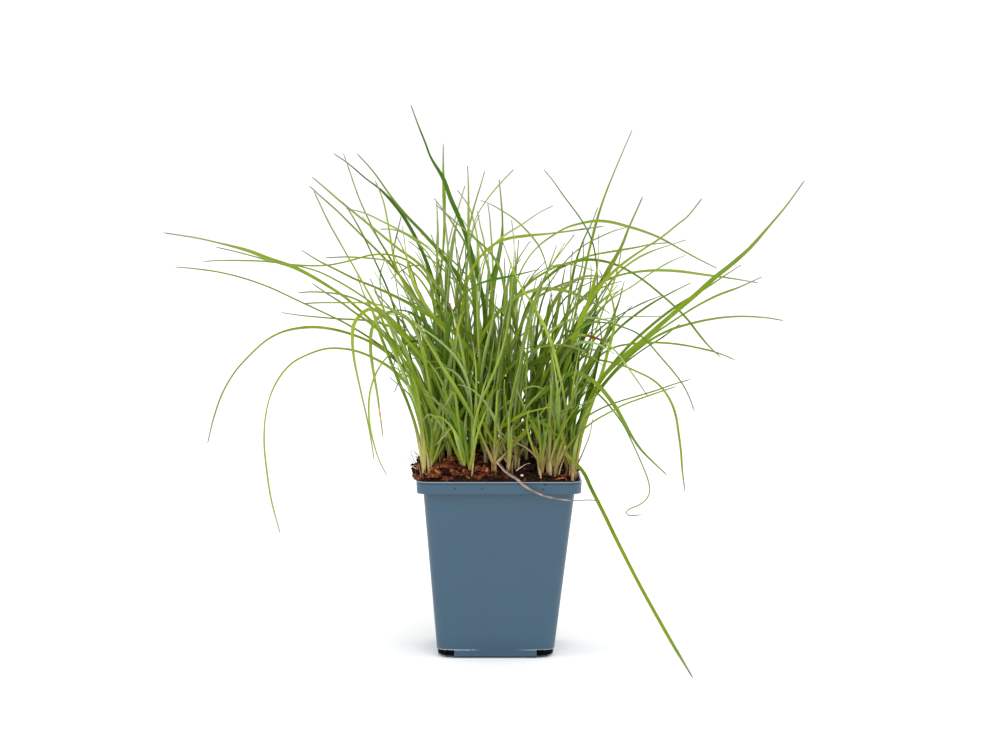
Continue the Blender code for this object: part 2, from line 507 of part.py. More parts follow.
def build_root_ball(parts, cutters, sockets):
    low = BODY_HALF_LOW - WALL + 0.2 - FIT_GAP
    ball = tapered_block("root_ball", parts, low, BODY_HALF_HIGH - WALL - FIT_GAP - 0.05, FLOOR + FIT_GAP,
                         RIM_LOW + 1.8, BODY_CORNER - WALL - FIT_GAP)
    head = tapered_block("head_block", cutters, RIM_HALF_LOW - WALL - FIT_GAP, RIM_HALF_LOW - WALL - FIT_GAP + 0.2,
                         RIM_LOW + 1.1 + FIT_GAP, POT_HEIGHT + 24.0, RIM_CORNER - WALL - FIT_GAP)
    combine(ball, as_cutter(head), "UNION")
    bm = bmesh.new()
    grid = bmesh.ops.create_grid(bm, x_segments=MOUND_CELLS, y_segments=MOUND_CELLS, size=47.0 * MM)
    for vert in grid["verts"]:
        vert.co.z = soil_height(vert.co.x / MM, vert.co.y / MM) * MM
    rise = bmesh.ops.extrude_face_region(bm, geom=bm.faces[:])
    for vert in [piece for piece in rise["geom"] if isinstance(piece, bmesh.types.BMVert)]:
        vert.co.z = -5.0 * MM
    mound = object_from_bmesh("mound", bm, cutters)
    combine(ball, as_cutter(mound), "INTERSECT")
    combine(ball, as_cutter(sockets), "DIFFERENCE")
    return ball


def seen(point, near):
    """Place of a noted (right, up) point moved toward the eye by near."""
    share = (EYE_DISTANCE - near) / EYE_DISTANCE
    return np.array((point[0] * share, -near, EYE_HEIGHT + (point[1] - EYE_HEIGHT) * share))


def noted(place):
    """The reverse of seen: right, up and near of a place."""
    share = (EYE_DISTANCE + place[1]) / EYE_DISTANCE
    return np.array((place[0] / share, EYE_HEIGHT + (place[2] - EYE_HEIGHT) / share, -place[1]))


def smooth_path(points, steps=10):
    """A centripetal Catmull-Rom curve through the points, with steps stretches between two of them."""
    points = np.asarray(points, dtype=float)
    ends = np.vstack((2.0 * points[0] - points[1], points, 2.0 * points[-1] - points[-2]))
    out = []
    for k in range(1, len(ends) - 2):
        p0, p1, p2, p3 = ends[k - 1:k + 3]
        t1 = math.sqrt(np.linalg.norm(p1 - p0)) + 1e-9
        t2 = t1 + math.sqrt(np.linalg.norm(p2 - p1)) + 1e-9
        t3 = t2 + math.sqrt(np.linalg.norm(p3 - p2)) + 1e-9
        for step in range(steps):
            t = t1 + (t2 - t1) * step / steps
            a1 = (t1 - t) / t1 * p0 + t / t1 * p1
            a2 = (t2 - t) / (t2 - t1) * p1 + (t - t1) / (t2 - t1) * p2
            a3 = (t3 - t) / (t3 - t2) * p2 + (t - t2) / (t3 - t2) * p3
            b1 = (t2 - t) / t2 * a1 + t / t2 * a2
            b2 = (t3 - t) / (t3 - t1) * a2 + (t - t1) / (t3 - t1) * a3
            out.append((t2 - t) / (t2 - t1) * b1 + (t - t1) / (t2 - t1) * b2)
    out.append(points[-1])
    return np.array(out)


def thinned(path, tolerance):
    """The fewest of the path's points whose straight stretches keep within tolerance of it."""
    first, last = path[0], path[-1]
    line = last - first
    length = np.linalg.norm(line)
    if len(path) < 3:
        return [first, last]
    away = np.linalg.norm(np.cross(path - first, line / max(length, 1e-9)), axis=1)
    far = int(np.argmax(away))
    if away[far] <= tolerance:
        return [first, last]
    return thinned(path[:far + 1], tolerance)[:-1] + thinned(path[far:], tolerance)


def travelled(path):
    """Length along the path up to each of its points."""
    return np.concatenate(((0.0,), np.cumsum(np.linalg.norm(np.diff(path, axis=0), axis=1))))


def blade_half_width(share):
    """Half-width of a blade of width 1 at a share of its length."""
    grown = 0.32 + 0.18 * min(share / 0.22, 1.0)
    if share > 0.5:
        grown *= 1.0 - 0.86 * ((share - 0.5) / 0.5) ** 1.25
    return grown


def shoot_foot(right, near):
    """Where a shoot stands on the peat."""
    x = right * (EYE_DISTANCE - near) / EYE_DISTANCE
    return np.array((x, -near, soil_height(x, -near)))


def make_blade(shoot, foot, noted_path, tip_near, width, roll):
    """A blade whose path starts inside the sheath of its shoot."""
    base = noted(foot + np.array((0.0, 0.0, LEAF_START)))
    flat = smooth_path([base[:2]] + [np.array(point, dtype=float) for point in reversed(noted_path)])
    run = travelled(flat)
    run = run / run[-1]
    nears = base[2] + (tip_near - base[2]) * run ** 1.25
    path = np.column_stack((flat, nears))
    path = np.array(thinned(path, PATH_TOLERANCE))
    run = travelled(path)
    free = np.clip((run - 8.0) / 26.0, 0.0, 1.0)
    return {"shoot": shoot, "path": path, "width": width, "roll": roll, "free": free}


def infill_path(foot, reach, height, swing, bow, droop):
    """Noted path and tip near of an unremarkable blade that leans to the front or the back."""
    path = []
    for share in (1.0, 0.8, 0.6, 0.4, 0.2):
        x = foot[0] + swing * share ** (1.0 + bow)
        z = foot[2] + height * (share ** 0.94 - droop * max(share - 0.6, 0.0) / 0.4)
        y = foot[1] - reach * share ** 1.5
        path.append(tuple(noted(np.array((x, y, z)))[:2]))
    return path, reach - foot[1]


def sampled(blade):
    """Places spread evenly along a blade, from just above its sheath to its tip."""
    places = np.array([seen(point[:2], point[2]) for point in blade["path"]])
    run = travelled(places)
    steps = np.linspace(9.0, run[-1], 26)
    return np.column_stack([np.interp(steps, run, places[:, k]) for k in range(3)])


def add_infill(blades):
    """Fills between the noted blades, each new one taking the clearest of a few ways through."""
    chance = random.Random(INFILL_SEED)
    taken = [sampled(blade) for blade in blades]
    feet = [shoot_foot(*shoot[:2]) for shoot in SHOOTS]
    owners = [blade["shoot"] for blade in blades]
    for foot in feet:
        taken.append(foot + np.linspace(0.0, 16.0, 6)[:, None] * np.array((0.0, 0.0, 1.0)))
    owners += list(range(len(SHOOTS)))
    for number, foot in enumerate(feet):
        near = -foot[1]
        listed = len(SHOOTS[number][2])
        at_corner = abs(foot[0]) > 36.0 and near > 26.0
        wanted = listed if at_corner else BACK_BLADES if near < -15.0 else BLADES_A_SHOOT
        for _ in range(wanted - listed):
            best = None
            for _ in range(INFILL_TRIES):
                back = chance.random() < (1.0 if near < 0.0 else 0.0 if near > 26.0 else 0.45)
                reach = chance.uniform(-95.0, -25.0) if back else chance.uniform(8.0, 62.0)
                height = chance.uniform(60.0, 118.0) if back else chance.uniform(42.0, 96.0)
                swing = foot[0] * chance.uniform(0.05, 0.4) + chance.uniform(-13.0, 13.0)
                droop = chance.uniform(0.3, 0.75) if chance.random() < 0.25 else chance.uniform(0.0, 0.16)
                path, tip = infill_path(foot, reach, height, swing, chance.uniform(0.35, 0.75), droop)
                width, roll = chance.uniform(1.5, 2.3), chance.uniform(10.0, 60.0)
                blade = make_blade(number, foot, path, tip, width, roll)
                spots = sampled(blade)
                room = min(np.linalg.norm(spots[:, None, :] - other[None, :, :], axis=2).min()
                           for owner, other in zip(owners, taken) if owner != number)
                if best is None or room > best[0]:
                    best = (room, blade, spots)
            blades.append(best[1])
            taken.append(best[2])
            owners.append(number)


def all_blades():
    """Every blade of the clump: those noted one by one, those that fill between them and the two fallen ones."""
    blades = []
    for number, (right, near, listed) in enumerate(SHOOTS):
        foot = shoot_foot(right, near)
        for tip_near, width, roll, path in listed:
            blades.append(make_blade(number, foot, path, tip_near, width, roll))
    foot = shoot_foot(*SHOOTS[FLOOR_SHOOT][:2])
    fallen = ((FLOOR_SHOOT, FLOOR_PATH, FLOOR_WIDTH), (len(SHOOTS), DRY_PATH, DRY_WIDTH))
    for number, table, width in fallen:
        points = [np.array(point, dtype=float) for point in reversed(table)]
        if number == FLOOR_SHOOT:
            points = [noted(foot + np.array((0.0, 0.0, LEAF_START)))] + points
        path = np.array(thinned(smooth_path(points), PATH_TOLERANCE * 0.6))
        blades.append({"shoot": number, "path": path, "width": width, "roll": 40.0, "free": np.zeros(len(path))})
    add_infill(blades)
    return blades


def sheath_axes(blades):
    """Upright root and leaning top of every shoot's sheath."""
    axes = []
    for number, (right, near, _) in enumerate(SHOOTS):
        foot = shoot_foot(right, near)
        own = [blade for blade in blades if blade["shoot"] == number]
        heads = []
        for blade in own:
            places = np.array([seen(point[:2], point[2]) for point in blade["path"]])
            run = travelled(places)
            heads.append([np.interp(17.0, run, places[:, k]) for k in range(3)])
        head = np.mean(heads, axis=0)
        axes.append((foot - np.array((0.0, 0.0, SOCKET_DEPTH)), foot + np.array((0.0, 0.0, 3.0)), head))
    return axes


def closest_shares(p1, q1, p2, q2):
    """Shares along each pair of stretches where the two come closest."""
    d1 = q1 - p1
    d2 = q2 - p2
    r = p1 - p2
    a = np.einsum("ij,ij->i", d1, d1) + 1e-12
    e = np.einsum("ij,ij->i", d2, d2) + 1e-12
    f = np.einsum("ij,ij->i", d2, r)
    c = np.einsum("ij,ij->i", d1, r)
    b = np.einsum("ij,ij->i", d1, d2)
    bottom = a * e - b * b
    s = np.where(bottom > 1e-9, np.clip((b * f - c * e) / np.where(bottom > 1e-9, bottom, 1.0), 0.0, 1.0), 0.5)
    t = (b * s + f) / e
    held = np.clip(t, 0.0, 1.0)
    s = np.where(t != held, np.clip((b * held - c) / a, 0.0, 1.0), s)
    return s, held


def ease_apart(blades, axes):
    """Shifts blades of different shoots toward or away from the eye until they all pass clear."""
    starts, ends, owners, radii_a, radii_b = [], [], [], [], []
    base = 0
    for blade in blades:
        count = len(blade["path"])
        blade["first"] = base
        run = travelled(blade["path"])
        shares = run / run[-1]
        half = [blade["width"] * blade_half_width(share) for share in shares]
        for k in range(count - 1):
            starts.append(base + k)
            ends.append(base + k + 1)
            owners.append(blade["shoot"])
            radii_a.append(half[k])
            radii_b.append(half[k + 1])
        base += count
    flat = np.vstack([blade["path"] for blade in blades])
    free = np.concatenate([blade["free"] for blade in blades])
    extra = []
    for number, axis in enumerate(axes):
        for k in range(2):
            starts.append(base)
            ends.append(base + 1)
            owners.append(number)
            radii_a.append(SHEATH_RADIUS)
            radii_b.append(SHEATH_RADIUS * (1.0 if k == 0 else SHEATH_SHARE_TOP))
            extra += [noted(axis[k]), noted(axis[k + 1])]
            free = np.concatenate((free, (0.0, 0.0)))
            base += 2
    flat = np.vstack((flat, np.array(extra)))
    start = np.array(starts)
    end = np.array(ends)
    owner = np.array(owners)
    ra = np.array(radii_a)
    rb = np.array(radii_b)
    home = flat[:, 2].copy()
    inner = np.zeros(len(flat), dtype=bool)
    for blade in blades:
        inner[blade["first"] + 1:blade["first"] + len(blade["path"]) - 1] = True
    one, two = np.triu_indices(len(start), 1)
    apart = owner[one] != owner[two]
    one, two = one[apart], two[apart]
    left = 0
    for turn in range(EASE_ROUNDS):
        if turn % 12 == 0:
            share = (EYE_DISTANCE - flat[:, 2]) / EYE_DISTANCE
            place = np.column_stack((flat[:, 0] * share, -flat[:, 2], EYE_HEIGHT + (flat[:, 1] - EYE_HEIGHT) * share))
            middle = 0.5 * (place[start] + place[end])
            span = 0.5 * np.linalg.norm(place[end] - place[start], axis=1) + np.maximum(ra, rb)
            close = np.linalg.norm(middle[one] - middle[two], axis=1) < span[one] + span[two] + 6.0
            near_one, near_two = one[close], two[close]
        share = (EYE_DISTANCE - flat[:, 2]) / EYE_DISTANCE
        place = np.column_stack((flat[:, 0] * share, -flat[:, 2], EYE_HEIGHT + (flat[:, 1] - EYE_HEIGHT) * share))
        s, t = closest_shares(place[start[near_one]], place[end[near_one]], place[start[near_two]], place[end[near_two]])
        spot_one = place[start[near_one]] * (1.0 - s)[:, None] + place[end[near_one]] * s[:, None]
        spot_two = place[start[near_two]] * (1.0 - t)[:, None] + place[end[near_two]] * t[:, None]
        gap = spot_one - spot_two
        need = ra[near_one] * (1.0 - s) + rb[near_one] * s + ra[near_two] * (1.0 - t) + rb[near_two] * t + CLEAR_GAP
        short = np.linalg.norm(gap, axis=1) < need
        left = int(short.sum())
        if left == 0:
            break
        shift = np.zeros(len(flat))
        weight = np.zeros(len(flat)) + 1e-9
        for k in np.nonzero(short)[0]:
            across = gap[k][0] ** 2 + gap[k][2] ** 2
            want = math.sqrt(max(need[k] ** 2 - across, 0.0)) + 0.06
            way = -1.0 if gap[k][1] > 0.0 else 1.0
            push = want - abs(gap[k][1])
            ends_one = ((start[near_one[k]], 1.0 - s[k]), (end[near_one[k]], s[k]))
            ends_two = ((start[near_two[k]], 1.0 - t[k]), (end[near_two[k]], t[k]))
            give = sum(free[i] * w * w for i, w in ends_one) + sum(free[i] * w * w for i, w in ends_two)
            if give < 1e-6:
                continue
            for i, w in ends_one:
                shift[i] += way * push * free[i] * w / give
                weight[i] += w
            for i, w in ends_two:
                shift[i] -= way * push * free[i] * w / give
                weight[i] += w
        flat[:, 2] += shift / np.maximum(weight, 1.0)
        if turn < EASE_ROUNDS * 0.7:
            moved = flat[:, 2] - home
            mean = moved.copy()
            index = np.nonzero(inner)[0]
            mean[index] = 0.5 * (moved[index - 1] + moved[index + 1])
            flat[index, 2] += 0.12 * free[index] * (mean[index] - moved[index])
    for blade in blades:
        first = blade["first"]
        blade["path"] = flat[first:first + len(blade["path"])]
    return left


def frames_along(places, roll):
    """Direction, wide axis and face axis at every place, turned as little as the path allows."""
    steps = np.diff(places, axis=0)
    steps = steps / np.linalg.norm(steps, axis=1)[:, None]
    ahead = np.vstack((steps[:1], steps[:-1] + steps[1:], steps[-1:]))
    ahead = ahead / np.linalg.norm(ahead, axis=1)[:, None]
    lean = places[-1] - places[0]
    side = np.array((-lean[1], lean[0], 0.0)) if math.hypot(lean[0], lean[1]) > 1e-6 else np.array((1.0, 0.0, 0.0))
    frames = []
    for way in ahead:
        side = side - way * float(side @ way)
        side = side / np.linalg.norm(side)
        face = np.cross(way, side)
        turn = math.radians(roll)
        wide = side * math.cos(turn) + face * math.sin(turn)
        frames.append((way, wide, np.cross(way, wide)))
    return frames


def swept_mesh(name, places, radii, profile, roll=0.0):
    """A closed solid that follows the places, its outline scaled by the radius at each."""
    places = np.asarray(places, dtype=float)
    rings = []
    for place, radius, (_, wide, face) in zip(places, radii, frames_along(places, roll)):
        rings.append([Vector((place + radius * (x * wide + y * face)) * MM) for x, y in profile])
    bm = bmesh.new()
    bmesh.ops.create_circle(bm, cap_ends=True, segments=len(profile), radius=MM)
    bm.verts.ensure_lookup_table()
    tip = list(bm.verts)
    for vert, spot in zip(tip, rings[0]):
        vert.co = spot
    end = bm.faces[:]
    for ring in rings[1:]:
        before = {vert: slot for slot, vert in enumerate(tip)}
        grown = bmesh.ops.extrude_face_region(bm, geom=end + list(end[0].edges) + list(end[0].verts))
        end = [piece for piece in grown["geom"] if isinstance(piece, bmesh.types.BMFace)]
        fresh = [None] * len(profile)
        for vert in end[0].verts:
            partner = next(edge.other_vert(vert) for edge in vert.link_edges if edge.other_vert(vert) in before)
            fresh[before[partner]] = vert
        tip = fresh
        for vert, spot in zip(tip, ring):
            vert.co = spot
    mesh = bpy.data.meshes.new(name)
    bmesh.ops.recalc_face_normals(bm, faces=bm.faces)
    bm.to_mesh(mesh)
    bm.free()
    return mesh


def keep_main_body(mesh):
    """Drops the crumbs that a union of thin blades can leave beside the shoot."""
    bm = bmesh.new()
    bm.from_mesh(mesh)
    waiting = set(bm.verts)
    bodies = []
    while waiting:
        front = [waiting.pop()]
        body = set(front)
        while front:
            vert = front.pop()
            for other in (edge.other_vert(vert) for edge in vert.link_edges):
                if other not in body:
                    body.add(other)
                    front.append(other)
        waiting -= body
        bodies.append(body)
    bodies.sort(key=len)
    for body in bodies[:-1]:
        bmesh.ops.delete(bm, geom=list(body), context="VERTS")
    bm.to_mesh(mesh)
    bm.free()


def build_shoot(name, axis, own, parts, cutters):
    radii = (SHEATH_RADIUS, SHEATH_RADIUS, SHEATH_RADIUS * SHEATH_SHARE_TOP)
    shoot = add_mesh_object(name, swept_mesh(name, axis, radii, STEM_PROFILE), parts)
    for number, blade in enumerate(own):
        places = [seen(point[:2], point[2]) for point in blade["path"]]
        run = travelled(np.array(places))
        widths = [blade["width"] * blade_half_width(share) for share in run / run[-1]]
        mesh = swept_mesh(f"{name}_blade_{number}", places, widths, BLADE_PROFILE, blade["roll"])
        cutter = as_cutter(add_mesh_object(f"{name}_blade_{number}", mesh, cutters))
        combine(shoot, cutter, "UNION")
    keep_main_body(shoot.data)
    return shoot


def support(x, y):
    """The level a loose chip rests on, peat or rim."""
    if max(abs(x), abs(y)) > SOIL_HALF - 0.6:
        return POT_HEIGHT
    return soil_height(x, y)


def build_chip(name, group, chance, right, near, long, wide, thick, turn, lean):
    """A weathered flake of bark with seven uneven sides."""
    bm = bmesh.new()
    bmesh.ops.create_circle(bm, cap_ends=True, segments=7, radius=0.5)
    for vert in bm.verts:
        vert.co *= chance.uniform(0.84, 1.12)
    rise = bmesh.ops.extrude_face_region(bm, geom=bm.faces[:])
    for vert in [piece for piece in rise["geom"] if isinstance(piece, bmesh.types.BMVert)]:
        vert.co.x *= 0.86
        vert.co.y *= 0.82
        vert.co.z = 1.0 + chance.uniform(-0.2, 0.25)
    bmesh.ops.scale(bm, verts=bm.verts, vec=(long, wide, thick))
    turned = Matrix.Rotation(math.radians(turn), 4, "Z") @ Matrix.Rotation(math.radians(lean), 4, "Y")
    bmesh.ops.transform(bm, matrix=Matrix.Translation((right, -near, 0.0)) @ turned, verts=bm.verts)
    lift = -1000.0
    for edge in bm.edges:
        for share in (0.0, 0.25, 0.5, 0.75):
            spot = edge.verts[0].co.lerp(edge.verts[1].co, share)
            for inward in (1.0, 0.7, 0.35, 0.0):
                x = right + (spot.x - right) * inward
                y = -near + (spot.y + near) * inward
                lift = max(lift, support(x, y) - spot.z * inward)
    bmesh.ops.translate(bm, verts=bm.verts, vec=(0.0, 0.0, lift + FIT_GAP + 0.45))
    bmesh.ops.scale(bm, verts=bm.verts, vec=(MM, MM, MM))
    return object_from_bmesh(name, bm, group)


def finish(item, material):
    item.data.materials.clear()
    item.data.materials.append(material)
    for face in item.data.polygons:
        face.material_index = 0


def main():
    clear_scene()
    parts = make_collection("Potted grass clump")
    cutters = make_collection("Cutters", hidden=True)
    plastic = make_material("Moulded plastic", (0.089, 0.159, 0.212), 0.42)
    peat = make_material("Peat", (0.018, 0.012, 0.009), 0.95)
    bark = make_material("Bark", (0.19, 0.062, 0.03), 0.85)
    leaf = make_material("Grass", (0.13, 0.24, 0.035), 0.5)
    straw = make_material("Dry leaf", (0.36, 0.27, 0.16), 0.7)
    blades = all_blades()
    axes = sheath_axes(blades)
    print("still touching after easing:", ease_apart(blades, axes))
    socket_meshes = bmesh.new()
    for axis in axes:
        deep = axis[0] - np.array((0.0, 0.0, FIT_GAP))
        high = axis[1] + 0.35 * (axis[2] - axis[1])
        wide = SHEATH_RADIUS + FIT_GAP
        socket_meshes.from_mesh(swept_mesh("socket", (deep, axis[1], high), (wide, wide, wide), STEM_PROFILE))
    sockets = object_from_bmesh("sockets", socket_meshes, cutters)
    finish(build_pot(parts, cutters), plastic)
    finish(build_root_ball(parts, cutters, sockets), peat)
    for number, axis in enumerate(axes):
        own = [blade for blade in blades if blade["shoot"] == number]
        finish(build_shoot(f"shoot_{number + 1:02d}", axis, own, parts, cutters), leaf)
    dry = next(blade for blade in blades if blade["shoot"] == len(SHOOTS))
    places = [seen(point[:2], point[2]) for point in dry["path"]]
    run = travelled(np.array(places))
    widths = [dry["width"] * blade_half_width(share) for share in run / run[-1]]
    finish(add_mesh_object("dry_leaf", swept_mesh("dry_leaf", places, widths, BLADE_PROFILE, 20.0), parts), straw)
    chance = random.Random(5)
    for number, chip in enumerate(CHIPS):
        finish(build_chip(f"bark_chip_{number + 1}", parts, chance, *chip), bark)


if __name__ == "__main__":
    main()
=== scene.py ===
"""A clump of fine-leaved ornamental grass in a square nursery pot: the looks.

Run as a script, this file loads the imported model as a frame, dresses it and sets the stage. It is laid
out as an add-on, with a panel in the sidebar of the 3D view. Lengths in the tables are millimetres,
objects are in metres, +Z is up, and the viewer of the clump stands on the -Y side.
"""
import math
import random

import bmesh
import bpy
import numpy as np
from bpy.props import FloatProperty
from bpy.props import FloatVectorProperty
from bpy.props import IntProperty
from bpy.props import PointerProperty
from mathutils import Euler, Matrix
from mathutils import Vector
from mathutils import noise


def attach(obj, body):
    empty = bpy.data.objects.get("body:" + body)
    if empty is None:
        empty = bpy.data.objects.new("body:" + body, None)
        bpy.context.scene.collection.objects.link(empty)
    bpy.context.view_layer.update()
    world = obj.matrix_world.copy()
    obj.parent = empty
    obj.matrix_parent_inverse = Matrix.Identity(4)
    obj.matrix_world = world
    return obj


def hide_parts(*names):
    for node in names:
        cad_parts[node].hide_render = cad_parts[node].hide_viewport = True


bl_info = {
    "name": "Potted grass clump",
    "version": (1, 0, 0),
    "blender": (4, 5, 0),
    "location": "View3D > Sidebar > Grass clump",
    "description": "Dresses a potted clump of ornamental grass: pot, peat, bark, shoots and stage",
    "category": "Object",
}

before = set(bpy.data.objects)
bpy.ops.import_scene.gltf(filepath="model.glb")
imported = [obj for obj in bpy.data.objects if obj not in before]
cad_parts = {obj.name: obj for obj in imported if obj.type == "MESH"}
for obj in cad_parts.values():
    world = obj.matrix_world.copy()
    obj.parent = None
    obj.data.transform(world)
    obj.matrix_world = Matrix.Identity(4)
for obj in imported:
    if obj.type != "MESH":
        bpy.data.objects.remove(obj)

MM = 0.001
BODY = "root"

# Pot, a square tub of thin moulded plastic with a stepped-out rim
POT_HEIGHT = 99.5
RIM_LOW = 92.6
RIM_HALF_LOW = 45.0
RIM_HALF_HIGH = 45.4
BODY_HALF_LOW = 32.0
BODY_HALF_HIGH = 41.5
RIM_CORNER = 8.0
BODY_CORNER = 7.0
WALL = 1.0
FLOOR = 1.2
LEAN = -2.0
FOOT_HALF = 23.0
NOTCH_HEIGHT = 4.8
NOTCH_REACH = 17.3
DRAIN_RADIUS = 3.0
DRAIN_OFFSET = 13.0
FIT_GAP = 0.3

# Root ball, peat filled level with the rim and mounded under the clump
SOIL_EDGE = 98.6
SOIL_RISE = 18.5
SOIL_HALF = 43.4
MOUND_SHIFT = 8.0
MOUND_CELLS = 7

# Shoots
SHEATH_RADIUS = 1.45
SHEATH_SHARE_TOP = 0.62
SOCKET_DEPTH = 4.5
LEAF_START = 5.0
STEM_PROFILE = [(math.cos(k * math.tau / 4), math.sin(k * math.tau / 4)) for k in range(4)]
BLADE_PROFILE = [(-1.0, 0.28), (0.0, -0.34), (1.0, 0.28)]
PATH_TOLERANCE = 1.1
CLEAR_GAP = 0.35
EASE_ROUNDS = 560
INFILL_SEED = 20
BLADES_A_SHOOT = 3
BACK_BLADES = 4
INFILL_TRIES = 14

# The clump is described as seen by an eye straight in front of the pot. A path point is noted as
# (right, up) where it crosses the upright plane through the pot's middle, and "near" moves the
# point from that plane toward the eye along its line of sight.
EYE_DISTANCE = 1440.0
EYE_HEIGHT = 264.0

